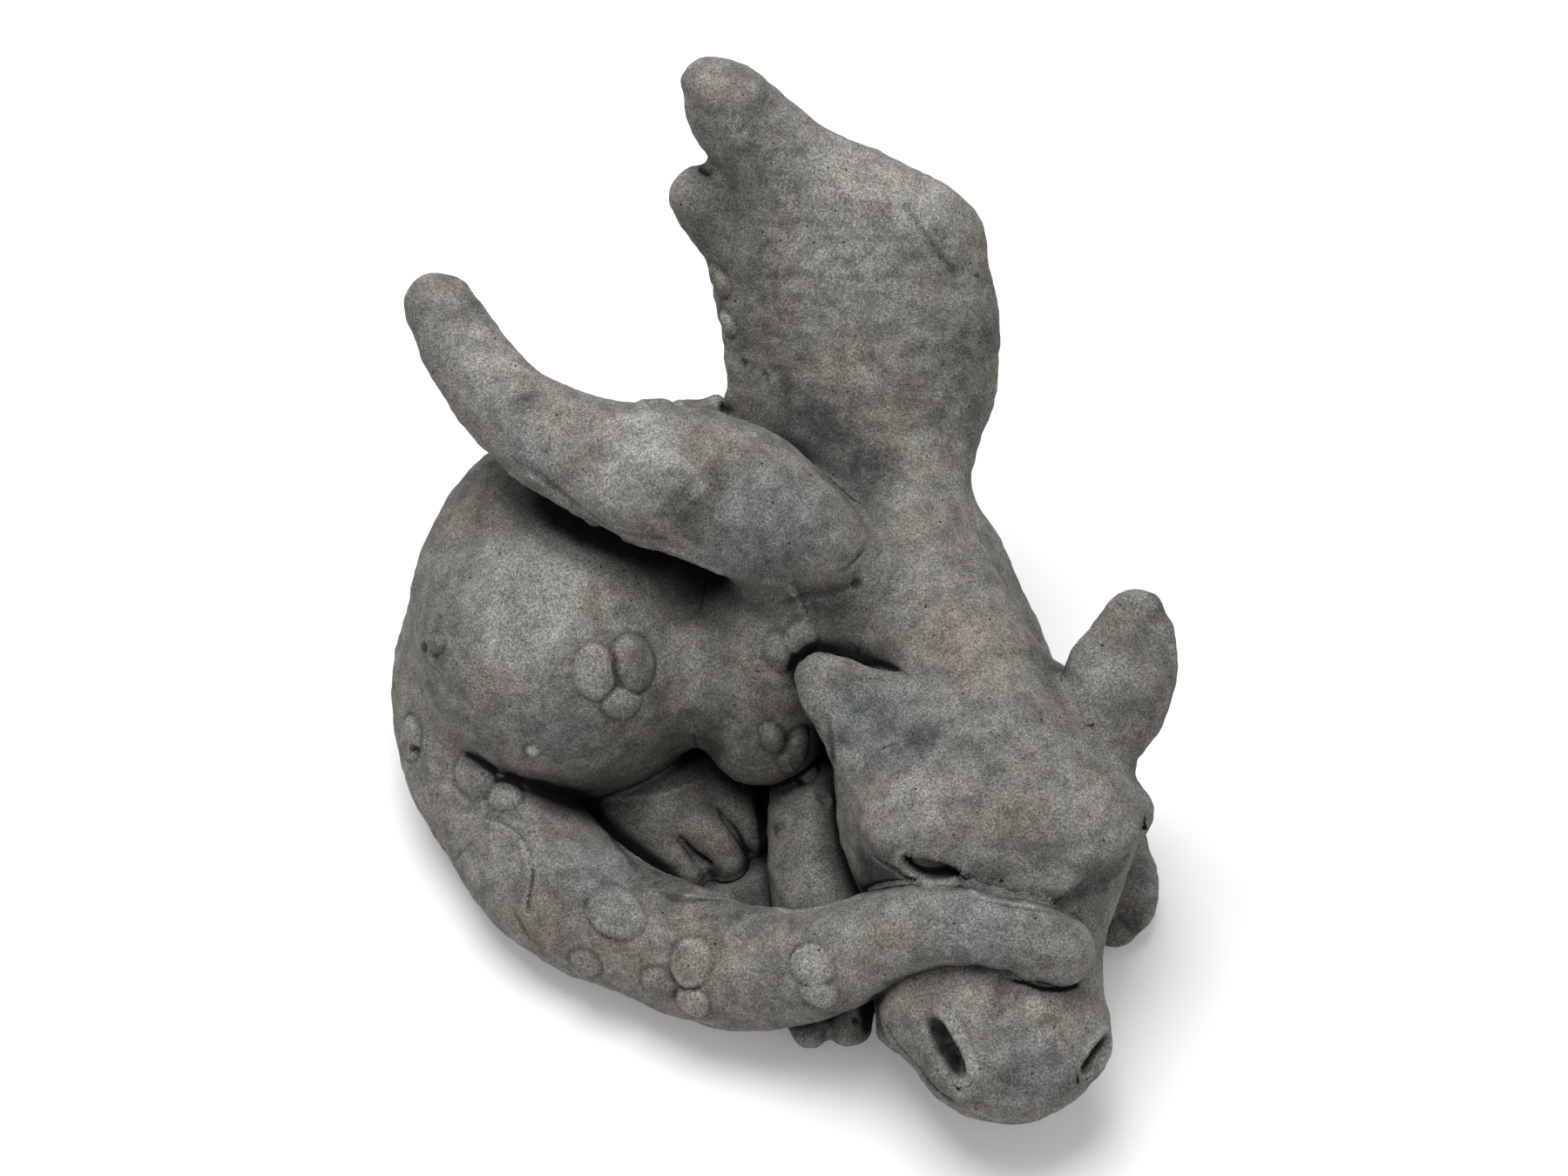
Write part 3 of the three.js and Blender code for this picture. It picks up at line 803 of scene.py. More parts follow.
@dataclass
class Clay:
    """The whole sculpture as one surface."""

    whole: Cluster
    details: list[Detail] = field(default_factory=list)

    def masses(self) -> list[Mass]:
        """Every mass of the sculpture."""
        return self.whole.masses()

    def surface(self, points: Array, own: dict[str, Array] | None = None, within: float = 0.0) -> Array:
        """Distances to the finished surface.

        Args:
            points: Points in millimetres, one row each.
            own: Filled with the distance to each mass alone, where given.
            within: How far from each form its distance has to be exact at least.

        Returns:
            One distance for each point.
        """
        own = {} if own is None else own
        found, _ = self.whole.measure(points, own, within)
        own[UNMARKED] = found.copy()
        for detail, close in self.touched(points, lambda detail: detail.radius + 1.5):
            if detail.touch is not Touch.PAINT:
                tool, _ = detail.form.near(points[close], detail.radius + 1.5)
                found[close] = detail.worked(found[close], tool)
                if detail.touch is Touch.ADD:
                    own[detail.host][close] = np.minimum(own[detail.host][close], tool)
        return -melt(-found, points[:, 2], GROUND_ROUND)

    def touched(self, points: Array, reach: Callable[[Detail], float]) -> Iterator[tuple[Detail, Array]]:
        """The details that are near some of the points.

        Args:
            points: Points in millimetres, one row each.
            reach: How far from its box a detail still counts.

        Yields:
            Each such detail, and which of the points are near it.
        """
        start, stop = points.min(axis=0), points.max(axis=0)
        for detail in self.details:
            low, high = detail.form.box
            low, high = low - reach(detail), high + reach(detail)
            if np.any(start > high) or np.any(stop < low):
                continue
            close = np.all((points > low) & (points < high), axis=1)
            if close.any():
                yield detail, close

    def piece(self, name: str, points: Array) -> Array:
        """Distances to one piece: the shared surface, and a lap under its neighbours."""
        own: dict[str, Array] = {}
        found = self.surface(points, own)
        unmarked = own.pop(UNMARKED)
        others = np.min([value for key, value in own.items() if key != name], axis=0)
        over = np.maximum(own[name] - others, 0)
        melted = np.minimum(own[name], others) - unmarked
        lap = np.clip(melted * LAP_SHARE, LAP_LEAST, LAP)
        return found + np.sqrt(over * over + lap * lap) - lap

    def normal(self, points: Array, distance: Callable[[Array], Array], here: Array) -> Array:
        """Slope of a distance at points.

        Args:
            points: Points in millimetres.
            distance: The distance whose slope is wanted.
            here: Its values at the points.

        Returns:
            One slope for each point.
        """
        slope = np.empty_like(points)
        for axis in range(3):
            moved = points.copy()
            moved[:, axis] += SLOPE
            slope[:, axis] = (shared_out(distance, moved) - here) / SLOPE
        return slope

    def plain(self) -> Clay:
        """The clay with its deep hollows alone, before any other mark."""
        return Clay(self.whole, [detail for detail in self.details if detail.hollows])

    def follow(self, points: Array, ways: Array, distance: Callable[[Array], Array]) -> Array:
        """Moves points along fixed ways, so that none crosses another, to where a distance is zero.

        Args:
            points: Points in millimetres, close to that surface.
            ways: The outward way of each.
            distance: The distance to the surface.

        Returns:
            The moved points.
        """
        moved = np.zeros(len(points), np.float32)
        slope = np.ones(len(points), np.float32)
        here = first = shared_out(distance, points)
        for _ in range(FOLLOW_STEPS):
            step = np.clip(-here / slope, -FOLLOW_LIMIT, FOLLOW_LIMIT)
            moved += step
            there = shared_out(distance, points + ways * moved[:, None])
            slope = np.clip((there - here) / np.where(np.abs(step) < 1e-4, np.inf, step), 0.6, 1.2)
            here = there
        moved[np.abs(here) > np.abs(first)] = 0
        return points + ways * moved[:, None]

    def settle(self, points: Array, distance: Callable[[Array], Array], steps: int) -> Array:
        """Moves points onto the surface where a distance is zero."""
        slope = np.zeros_like(points)
        for count in range(steps):
            here = shared_out(distance, points)
            if count % 2 == 0:
                slope = self.normal(points, distance, here)
            step = here[:, None] * slope / np.maximum(np.sum(slope**2, axis=1), 0.05)[:, None]
            length = np.linalg.norm(step, axis=1, keepdims=True)
            points = points - step * np.minimum(1, PRESS_LIMIT / np.maximum(length, 1e-9))
        return points

    def seen(self, pixels: Array, view: View) -> tuple[Array, Array]:
        """Places of the skin that show at pixels of the photograph, and the way they face.

        Args:
            pixels: Column and row of each pixel.
            view: The photograph's camera.

        Returns:
            One place and one direction for each pixel. Beside the outline it is the nearest skin.
        """
        start, ways = view.rays(pixels)
        depth = np.full(len(ways), view.away - SIGHT, np.float32)
        best, nearest = depth.copy(), np.full(len(ways), 1e9, np.float32)
        for _ in range(SIGHT_STEPS):
            away = shared_out(self.surface, start + ways * depth[:, None])
            closer = away < nearest
            best, nearest = np.where(closer, depth, best), np.where(closer, away, nearest)
            depth = np.where(nearest < 0.03, best, depth + np.maximum(away, 0.02) * 0.85)
        points = self.settle(start + ways * best[:, None], self.surface, 3)
        facing = unit(self.normal(points, self.surface, shared_out(self.surface, points)))
        return points, facing

    def press(self, marks: Sequence[Mark], view: View) -> None:
        """Presses marks into the skin where the photograph shows them."""
        points, facing = self.seen(np.array([spot[:2] for mark in marks for spot in mark.path]), view)
        own: dict[str, Array] = {}
        self.whole.measure(points.astype(np.float32), own, 0.0)
        first = 0
        for mark in marks:
            span = slice(first, first + len(mark.path))
            host = min(own, key=lambda name: own[name][span].mean())
            self.details.append(replace(mark.detail(points[span], facing[span], view), host=host))
            first = span.stop


# Modelling


def deselect_all() -> None:
    """Leaves nothing selected, because operators act on all that is."""
    if bpy.context.object and bpy.context.object.mode != "OBJECT":
        bpy.ops.object.mode_set(mode="OBJECT")
    bpy.ops.object.select_all(action="DESELECT")


def select_only(chosen: Sequence[bpy.types.Object]) -> None:
    """Selects these objects and makes the first one active."""
    deselect_all()
    for item in chosen:
        item.select_set(True)
    bpy.context.view_layer.objects.active = chosen[0]


def apply_modifier(item: bpy.types.Object, kind: str, **settings: object) -> None:
    """Adds a modifier with its settings and applies it.

    Args:
        item: The object that gets it.
        kind: Blender's name of the modifier type.
        settings: Its properties.
    """
    select_only([item])
    modifier = item.modifiers.new(kind.title(), kind)
    for name, value in settings.items():
        setattr(modifier, name, value)
    bpy.ops.object.modifier_apply(modifier=modifier.name)


def points_of(item: bpy.types.Object) -> Array:
    """A mesh's points in the sculpture's millimetres."""
    flat = np.empty(len(item.data.vertices) * 3, np.float32)
    item.data.vertices.foreach_get("co", flat)
    return flat.reshape(-1, 3) / MM + CENTRE


def facing_of(item: bpy.types.Object) -> Array:
    """The outward way of a mesh at each of its points."""
    flat = np.empty(len(item.data.vertices) * 3, np.float32)
    item.data.vertex_normals.foreach_get("vector", flat)
    return flat.reshape(-1, 3)


def place_points(item: bpy.types.Object, points: Array) -> None:
    """Puts a mesh's points at places in the sculpture's millimetres."""
    moved = (points - CENTRE) * MM
    item.data.vertices.foreach_set("co", moved.astype(np.float32).ravel())
    item.data.update()


def block_form(
    form: Form, name: str, around: int = 32, rings: int = 26, grow: float = 0.0
) -> bpy.types.Object:
    """A sphere primitive whose rings are drawn out along a form, cut off at the ground.

    Args:
        form: The form that it follows.
        name: Name of the new object.
        around: Points in a ring.
        rings: Steps from pole to pole.
        grow: How much larger it is than the form.

    Returns:
        The new object.
    """
    deselect_all()
    if isinstance(form, Slab):
        bpy.ops.mesh.primitive_cylinder_add(vertices=len(form.rim), radius=1, depth=2)
        item = bpy.context.object
        low = np.c_[form.rim, np.full(len(form.rim), -1.0)]
        high = np.c_[form.rim, np.full(len(form.rim), form.height)]
        place_points(item, np.stack((low, high), axis=1).reshape(-1, 3))
    else:
        bpy.ops.mesh.primitive_uv_sphere_add(segments=around, ring_count=rings, radius=1)
        item = bpy.context.object
        place_points(item, sphere_order(item, form.outline(around, rings, grow), around, rings))
    item.name = name
    bpy.ops.object.mode_set(mode="EDIT")
    bpy.ops.mesh.select_all(action="SELECT")
    bpy.ops.mesh.normals_make_consistent(inside=False)
    bpy.ops.mesh.bisect(
        plane_co=(0, 0, 0), plane_no=(0, 0, 1), use_fill=True, clear_inner=True, threshold=1e-6
    )
    bpy.ops.object.mode_set(mode="OBJECT")
    return item


def sphere_order(item: bpy.types.Object, outline: Array, around: int, rings: int) -> Array:
    """Sorts ring points into the order in which the sphere primitive keeps its own.

    Args:
        item: The sphere primitive, of radius one.
        outline: Points from pole to pole, ring by ring.
        around: Points in a ring.
        rings: Steps from pole to pole.

    Returns:
        The points in the primitive's order.
    """
    flat = np.empty(len(item.data.vertices) * 3, np.float32)
    item.data.vertices.foreach_get("co", flat)
    x, y, z = flat.reshape(-1, 3).T
    ring = np.rint(np.arccos(np.clip(z, -1, 1)) / math.pi * rings).astype(int)
    step = np.rint(np.arctan2(y, x) / (2 * math.pi) * around).astype(int) % around
    index = 1 + (ring - 1) * around + step
    index[ring == 0] = 0
    index[ring == rings] = len(outline) - 1
    return outline[index]


def unevenness(points: Array) -> Array:
    """How far the hand worked surface stands proud, in millimetres."""
    draw = np.random.default_rng(WAVE_SEED)
    found = np.zeros(len(points), np.float32)
    for wave, height in WAVES:
        ways = unit(draw.normal(size=(WAVE_COUNT, 3))).astype(np.float32)
        ways *= (2 * math.pi / wave) * draw.uniform(*WAVE_SPREAD, (WAVE_COUNT, 1)).astype(np.float32)
        phase = draw.uniform(0, 2 * math.pi, WAVE_COUNT).astype(np.float32)
        found += np.sin(points @ ways.T + phase).sum(axis=1) * (height * math.sqrt(2 / WAVE_COUNT))
    return found


@dataclass
class Sculptor:
    """Turns the clay's masses into finished stone pieces."""

    clay: Clay
    material: bpy.types.Material | None = None

    def block_out(self, mass: Mass) -> bpy.types.Object:
        """The mass from drawn out spheres, joined, hollowed where deep and remeshed."""
        names = [f"{mass.name}_block_{i}" for i in range(len(mass.forms))]
        parts = [block_form(form, name, grow=BLOCK_GROW) for form, name in zip(mass.forms, names)]
        select_only(parts)
        if len(parts) > 1:
            bpy.ops.object.join()
        item = bpy.context.object
        size = mass.voxel * VOXEL_FACTOR * MM
        apply_modifier(item, "REMESH", mode="VOXEL", voxel_size=size)
        tools = [detail.form for detail in self.clay.details if detail.hollows == mass.name]
        for form in tools:
            tool = block_form(form, "hollow", around=20, rings=16)
            apply_modifier(item, "BOOLEAN", operation="DIFFERENCE", object=tool, solver="EXACT")
            bpy.data.objects.remove(tool)
        if tools:
            apply_modifier(item, "REMESH", mode="VOXEL", voxel_size=size)
        return item

    def dress(self, item: bpy.types.Object, points: Array, facing: Array) -> None:
        """Stores on each point its occlusion, which darkens hollows as painted shade, its edge wear and its
        tints.
        """
        # How enclosed each point is by the skin; the stone shows it as painted shade in hollows.
        shelter = np.zeros(len(points), np.float32)
        for reach, share in OCCLUSION_REACHES:
            lifted = points + facing * reach
            open_air = shared_out(lambda p: self.clay.surface(p, within=reach), lifted) / reach
            shelter += share * np.clip(1 - open_air, 0, 1)
        inside = -shared_out(self.clay.surface, points - facing * EDGE_DEPTH) / EDGE_DEPTH
        layers = {hue.value: np.zeros(len(points), np.float32) for hue in Hue}
        for detail, close in self.clay.touched(points, lambda d: d.tint.feather if d.tint else 0):
            if detail.tint:
                away, _ = detail.form.near(points[close], detail.tint.feather + 0.5)
                amount = detail.tint.amount(away, detail.touch is Touch.ADD)
                layer = layers[detail.tint.hue.value]
                layer[close] = np.maximum(layer[close], amount)
        layers |= {"shelter": shelter, "edge": np.clip(1 - inside, 0, 1)}
        for name, values in layers.items():
            attribute = item.data.attributes.new(name, "FLOAT", "POINT")
            attribute.data.foreach_set("value", values.astype(np.float32))

    def make(self, mass: Mass) -> bpy.types.Object:
        """Builds, presses and dresses one piece, which then stands for its CAD node."""
        item = self.block_out(mass)
        for clay, smoothing in ((self.clay.plain(), BLOCK_SMOOTHING), (self.clay, PLAIN_SMOOTHING)):
            apply_modifier(item, "SMOOTH", factor=0.5, iterations=smoothing)
            ways = facing_of(item)
            place_points(item, clay.follow(points_of(item), ways, partial(clay.piece, mass.name)))
        apply_modifier(item, "SMOOTH", factor=0.3, iterations=1)
        points = points_of(item)
        facing = facing_of(item)
        self.dress(item, points, facing)
        rough = points + facing * unevenness(points)[:, None]
        rough[:, 2] = np.maximum(rough[:, 2], 0.0)
        place_points(item, rough)
        return self.finish(item, mass.name)

    def ball(self, name: str, form: Lump) -> bpy.types.Object:
        """A ball that lies loose in the stone, such as an eye.

        Args:
            name: The CAD node that it stands for.
            form: Its place and size.

        Returns:
            The finished piece.
        """
        item = block_form(form, name, around=64, rings=48)
        points = points_of(item)
        self.dress(item, points, unit(points - np.array(form.centre, np.float32)))
        item.data.attributes["edge"].data.foreach_set("value", np.zeros(len(points), np.float32))
        return self.finish(item, name)

    def finish(self, item: bpy.types.Object, name: str) -> bpy.types.Object:
        """Smooths, names and binds a piece that stands for a CAD node."""
        item.data.polygons.foreach_set("use_smooth", [True] * len(item.data.polygons))
        item.name = f"stone_{name}"
        item.data.name = item.name
        item.data.materials.clear()
        item.data.materials.append(self.material)
        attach(item, "root")
        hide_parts(name)
        log.info("%s: %d faces", item.name, len(item.data.polygons))
        return item


# The sculpture


@dataclass(frozen=True)
class Body:
    """Base, trunk, thighs and neck."""

    outline: tuple[tuple[float, float], ...] = (
        (-92, 30), (-88, 2), (-70, -27), (-44, -49), (-14, -60), (12, -60), (34, -66), (56, -70),
        (76, -56), (90, -26), (84, 0), (68, 34), (44, 66), (10, 84), (-30, 94), (-66, 86), (-86, 62),
    )
    base_height: float = 9.0
    trunk: tuple[Station, ...] = (
        (40.5, 16, 50, 26, 40), (31, 35, 53, 30, 46), (10, 54, 53, 38, 44), (-22, 62, 52, 38.5, 46),
        (-51, 57, 51, 38.5, 44), (-74, 51, 51, 32, 42),
    )
    neck: tuple[Station, ...] = (
        (32, 38, 76, 20.5, 26), (39.5, 20, 72, 22, 26), (47.5, 0, 64, 25.5, 28),
    )
    right_thigh: Lump = Lump((-60.9, 30.7, 51), (46.4, 49.9, 47.5), melt=13)
    left_thigh: tuple[Station, ...] = (
        (-61, 79, 37, 21, 26), (-54, 80, 38, 31, 36), (-46, 81, 35, 28, 30),
    )

    def masses(self) -> tuple[Mass, ...]:
        """The pieces of the body, in the order in which they join."""
        return (
            Mass("trunk", (Limb(self.trunk, melt=8),), voxel=1.15),
            Mass("base", (Slab(self.outline, self.base_height),), voxel=1.3),
            Mass("right_thigh", (self.right_thigh,), voxel=0.8),
            Mass("left_thigh", (Limb(self.left_thigh, melt=11, stiff=True),), voxel=1.1),
            Mass("neck", (Limb(self.neck, melt=9),), voxel=0.9),
        )

    def marks(self) -> tuple[Mark, ...]:
        """Scales, folds and stains of the haunch, the flank and the neck, with painted shade and a painted
        highlight on them.
        """
        return (
            ridge((741, 449, 2.5), (761, 446, 3), (782, 456, 3), rise=2.0),
            ridge((790, 458, 2), (812, 455, 3), (838, 458, 3), rise=1.6),
            scale(683.8, 772.2, 5.6, 1.0, 1.25, 80),
            scale(713.6, 806.5, 4.6, 1.0),
            scale(727, 762, 6.0, 1.9, 1.20, 70),
            crease((705, 752), (706, 770), (714, 786), wide=0.6, deep=0.8),
            ridge((797, 735, 7), (798, 780, 8), (796, 830, 6), rise=2.2),
            scale(501.4, 738, 2.6, 1.6),
            pit(486.4, 744, 1.3),
            pit(501, 753, 0.9),
            crease((490, 757), (499, 768), (508, 776), wide=0.4, deep=0.4, dark=0.5),
            scale(611, 863, 2.0, 1.0),
            crease((550, 584), (548, 598), (556, 605), (568, 602), wide=0.5, deep=0.5, dark=0.4),
            crease((566, 568), (576, 572), (584, 582), wide=0.4, deep=0.35, dark=0.3),
            scale(895.4, 748, 3.9, 1.3, 1.36, 75),
            scale(920, 733, 4.2, 1.2, 1.2, 80),
            ridge((880, 668, 2.5), (900, 671, 3), (914, 683, 2.2), (926, 706, 1.5), rise=1.2),
            crease((912, 669), (921, 688), (929, 707), wide=0.6, deep=0.9, dark=0.7),
            pit(984, 671, 1.6),
            scale(886.4, 846, 3.4, 1.5, 1.28, 75),
            scale(907, 876, 2.6, 1.3, 1.27, 60),
            scale(916.5, 857, 3.5, 1.8, 1.87, 75),
            scale(928, 887, 2.5, 1.0),
            # This groove along the head's near edge is darkened as painted shade.
            crease((948, 818), (953, 850), (957, 880), wide=0.8, deep=1.2),
            *patches(Hue.COOL, (590, 690, 20, 0.6), (625, 855, 13, 0.5)),
            *patches(Hue.WARM, (528, 590, 11, 0.7), (707, 833, 4, 0.6), (1130, 742, 14, 0.9)),
            # Painted shade: the haunch darker on its lower right, the tail's inner edge, and the shadow under
            # the near wing's root.
            *patches(
                Hue.DARK,
                (770, 850, 16, 0.3), (700, 900, 16, 0.25), (800, 830, 12, 0.4), (948, 688, 9, 0.9),
            ),
            # The first pale patch is a painted highlight on the haunch's upper left.
            *patches(Hue.PALE, (600, 690, 26, 0.6), (1130, 742, 10, 0.25)),
        )


@dataclass(frozen=True)
class Tail:
    """The tail, from the rump round the front and over the snout."""

    spine: tuple[Station, ...] = (
        (-84, 46, 33, 24, 28), (-92.5, 29, 28, 23.2, 25), (-89.5, 4, 24, 20.3, 22.3),
        (-76.6, -19.3, 20.7, 19.3, 20.2), (-63, -37, 18.6, 20.1, 19.7),
        (-44.5, -48.8, 18.7, 18.3, 18.3), (-26.5, -58.6, 18.8, 17.3, 18.1),
        (-10, -66, 21.7, 16.8, 17.2), (7, -69.5, 30, 15.3, 15.3), (21, -71, 42, 13.7, 13.7),
        (34, -73, 54, 11.8, 11.8), (47, -76, 60.5, 10.3, 9.8), (59, -78.5, 60, 9.6, 9.2),
        (72.5, -80.5, 54.5, 9, 8.6),
    )
    melting: tuple[float, ...] = (14, 10, 4, 2, 1.5, 1.5, 1.5, 1.5, 1.5, 1.2, 1, 1, 1, 1)

    def masses(self) -> tuple[Mass, ...]:
        """The tail as a mass."""
        return (Mass("tail", (Limb(self.spine, melt=self.melting),), voxel=0.75),)

    def marks(self) -> tuple[Mark, ...]:
        """Scales, chips and cracks of the tail, with stain and painted shade beside the hind foot."""
        return (
            scale(579.3, 911, 4.6, 1.1),
            scale(545, 888, 5.6, 1.4, 1.1, 70),
            ridge((556, 943, 1), (582, 952, 1.3), (602, 972, 1.5), (608, 999, 1.5), (601, 1045, 1), rise=1.0),
            crease((560, 936), (587, 950), (607, 972), (613, 1001), (605, 1046), wide=0.6, deep=0.7),
            ridge((618, 990, 4), (645, 1010, 5), (690, 1030, 5), rise=1.3),
            scale(706, 1046, 6.0, 1.2, 1.35, 35),
            scale(672, 1107, 4.2, 1.7),
            scale(795, 1151, 4.4, 1.0),
            scale(755, 1131, 4.6, 1.5),
            scale(792, 1104, 5.6, 1.3, 1.17, 100),
            scale(940, 1141, 4.6, 1.0),
            scale(931, 1108, 5.2, 0.7),
            crease((904, 1100), (912, 1092), (925, 1088), wide=0.4, deep=0.4, dark=0.4),
            crease((758, 1075), (765, 1082), (775, 1087), wide=0.4, deep=0.5, dark=0.6),
            crease((592, 1052), (598, 1064), (606, 1079), wide=0.6, deep=0.7),
            crease((519, 1000), (524, 985), (540, 970), wide=0.5, deep=0.4, dark=0.35),
            scale(470, 847, 4.6, 1.3, 1.31, 80),
            crease((452, 752), (449, 772), (452, 795), wide=1.0, deep=1.0),
            crease((497, 952), (503, 968), (505, 980), wide=0.7, deep=0.9),
            pit(477, 861, 1.0),
            chip(668.5, 1112, 1.1),
            line(Hue.PALE, 0.9, (656, 1097), (663, 1100)),
            chip(746.8, 1142, 1.0),
            crease((1150, 1120), (1175, 1127), (1205, 1134), (1235, 1130), wide=0.7, deep=0.8),
            line(
                Hue.DARK, 0.8, (1018, 1128), (1048, 1117), (1083, 1108), (1125, 1111), (1156, 1119), wide=0.6
            ),
            *patches(Hue.COOL, (1120, 1062, 16, 0.8), (690, 1000, 12, 0.4)),
            *patches(Hue.WARM, (610, 1062, 13, 0.6), (800, 1120, 16, 0.5)),
            # Darker along the tail's inner side by the hind foot: stain with painted shade.
            *patches(
                Hue.DARK,
                (700, 940, 13, 0.75), (760, 1010, 13, 0.7), (640, 915, 9, 0.6), (830, 1048, 11, 0.6),
            ),
            *patches(Hue.PALE, (960, 1110, 15, 0.45), (1110, 1068, 13, 0.4)),
        )


@dataclass(frozen=True)
class Legs:
    """Feet, arms and hands."""

    right_foot: tuple[Station, ...] = (
        (-42, 4, 18, 21, 15), (-32, -6, 15, 22, 13), (-25, -13, 11, 18, 9),
    )
    right_toes: tuple[tuple[Station, ...], ...] = (
        ((-46, -13, 14, 8.5, 10), (-35, -22, 12, 8, 9.5), (-28.5, -27.5, 8, 6.8, 7.5)),
        ((-34, -6, 15, 8.5, 10), (-23, -17, 12.5, 8, 9.5), (-16.5, -23, 8, 6.5, 7.5)),
        ((-23, 1, 15, 8, 9), (-13, -9, 13, 7.5, 9), (-8.5, -14.5, 8.5, 6, 7.5)),
    )
    left_foot: tuple[Station, ...] = ((-52, 92, 14, 12, 13), (-36, 98, 12, 12, 11), (-24, 101, 11, 10, 10))
    left_toes: tuple[tuple[Station, ...], ...] = (
        ((-32, 106, 10, 6, 9), (-20, 109, 9, 6, 8), (-10, 110, 7, 5, 6.5)),
        ((-28, 98, 10, 6, 9), (-16, 99, 9, 6, 8), (-5, 99, 7, 5, 6.5)),
        ((-30, 90, 10, 6, 9), (-18, 89, 9, 6, 8), (-8, 88, 7, 5, 6.5)),
    )
    right_upper_arm: tuple[Station, ...] = (
        (13, 26, 82, 19, 20), (0, 14, 66, 24, 23), (-6, 5, 50, 20, 19), (-5, -4, 38, 15, 13),
    )
    left_upper_arm: tuple[Station, ...] = (
        (40, 38, 66, 22, 22), (50, 27, 52, 22, 22), (64, 14, 36, 18, 18), (76, 4, 22, 13, 14),
    )
    right_forearm: tuple[Station, ...] = (
        (7, -8, 25, 11, 12), (10, -24, 18, 15, 16), (13, -42, 14.5, 16.5, 14), (14, -58, 12, 13, 12),
    )
    left_forearm: tuple[Station, ...] = (
        (80, 10, 20, 13, 15), (87.5, -8, 16, 13, 14), (92, -22, 13, 11, 12),
    )
    right_fingers: tuple[tuple[Station, ...], ...] = (
        ((8, -60, 10, 7, 9), (5.8, -70, 9, 6.4, 8), (7.6, -77.6, 7, 4.8, 5)),
        ((18, -60, 10, 8, 9), (17.5, -70, 9, 7, 8), (18, -76.2, 7, 6, 5.5)),
    )
    left_fingers: tuple[tuple[Station, ...], ...] = (
        ((95, -20, 14, 9.2, 11), (98.4, -31, 11, 9.1, 9.4), (98.2, -39, 9, 7.2, 7.1)),
        ((91.5, -24, 12, 9, 10), (94.2, -37, 9, 8.3, 8.4), (92.8, -44, 7, 6.3, 5.9)),
    )
    finger_melt: float = 2.6

    def digits(self, rows: tuple[tuple[Station, ...], ...], first: Limb | None = None) -> tuple[Limb, ...]:
        """Toes or fingers, after the foot that carries them where there is one."""
        toes = tuple(Limb(row, melt=self.finger_melt) for row in rows)
        return (first, *toes) if first else toes

    def upper(self) -> tuple[Mass, ...]:
        """The upper arms, which melt into the trunk."""
        up = (0, 1, 0)
        return (
            Mass("right_upper_arm", (Limb(self.right_upper_arm, up=up, melt=13),), voxel=0.8),
            Mass("left_upper_arm", (Limb(self.left_upper_arm, up=up, melt=10),), voxel=1.0),
        )

    def lower(self) -> tuple[Cluster, ...]:
        """Forearms with their hands, and the hind feet."""
        right = Mass("right_forearm", (Limb(self.right_forearm, melt=3),), voxel=0.8)
        left = Mass("left_forearm", (Limb(self.left_forearm, melt=6),), voxel=1.0)
        right_foot = Limb(self.right_foot, melt=2)
        left_foot = Limb(self.left_foot, melt=4)
        right_toes = self.digits(self.right_toes, right_foot)
        left_toes = self.digits(self.left_toes, left_foot)
        return (
            Cluster((right, Mass("right_hand", self.digits(self.right_fingers), voxel=0.6)), melt=3),
            Cluster((left, Mass("left_hand", self.digits(self.left_fingers), voxel=0.7)), melt=6),
            Cluster((Mass("right_hind_foot", right_toes, voxel=0.7),), melt=2.5),
            Cluster((Mass("left_hind_foot", left_toes, voxel=0.9),), melt=4),
        )

    def marks(self) -> tuple[Mark, ...]:
        """Grooves between the toes, and painted shade, with some dark stain, where the limbs touch."""
        return (
            crease((781, 962), (798, 982), (815, 993), wide=0.8, deep=0.9, dark=0.9),
            crease((824, 929), (838, 953), (858, 979), wide=0.9, deep=1.0, dark=0.8),
            crease((838, 943), (848, 958), (854, 970), wide=0.4, deep=0.5, dark=0.5),
            line(Hue.PALE, 0.9, (678, 919), (705, 918), (738, 916), (765, 911), (785, 904), (812, 896)),
            # Painted shade along the crevice where the tail meets the hind foot.
            line(Hue.DARK, 1.0, (680, 937), (716, 978), (755, 1021), (793, 1035), (840, 1035), wide=1.2),
            line(Hue.PALE, 0.8, (790, 1030), (812, 1033), (835, 1035), wide=0.5),
            line(Hue.PALE, 1.0, (893, 1045), (921, 1044), (957, 1035), (985, 1027), wide=0.7),
            crease((941, 914), (950, 919), (961, 925), wide=0.9, deep=1.4, dark=1.0),
            pit(983, 1171, 0.8),
            crease((1283, 1053), (1296, 1064), (1309, 1070), wide=0.8, deep=1.0, dark=0.9),
            *patches(Hue.COOL, (1318, 1005, 9, 0.6)),
            # Painted shade in the hollows where the limbs, the tail and the cheek meet, with some dark stain
            # on the forearm.
            *patches(
                Hue.DARK,
                (815, 1003, 5, 1.0), (862, 990, 5, 1.0), (860, 1030, 7, 1.0), (876, 905, 8, 1.0),
                (893, 950, 3, 0.9), (1000, 1000, 8, 1.0), (960, 985, 6, 0.55), (958, 1160, 7, 0.8),
                (1295, 1060, 7, 0.8),
            ),
            *patches(Hue.PALE, (935, 912, 3.5, 0.6)),
        )


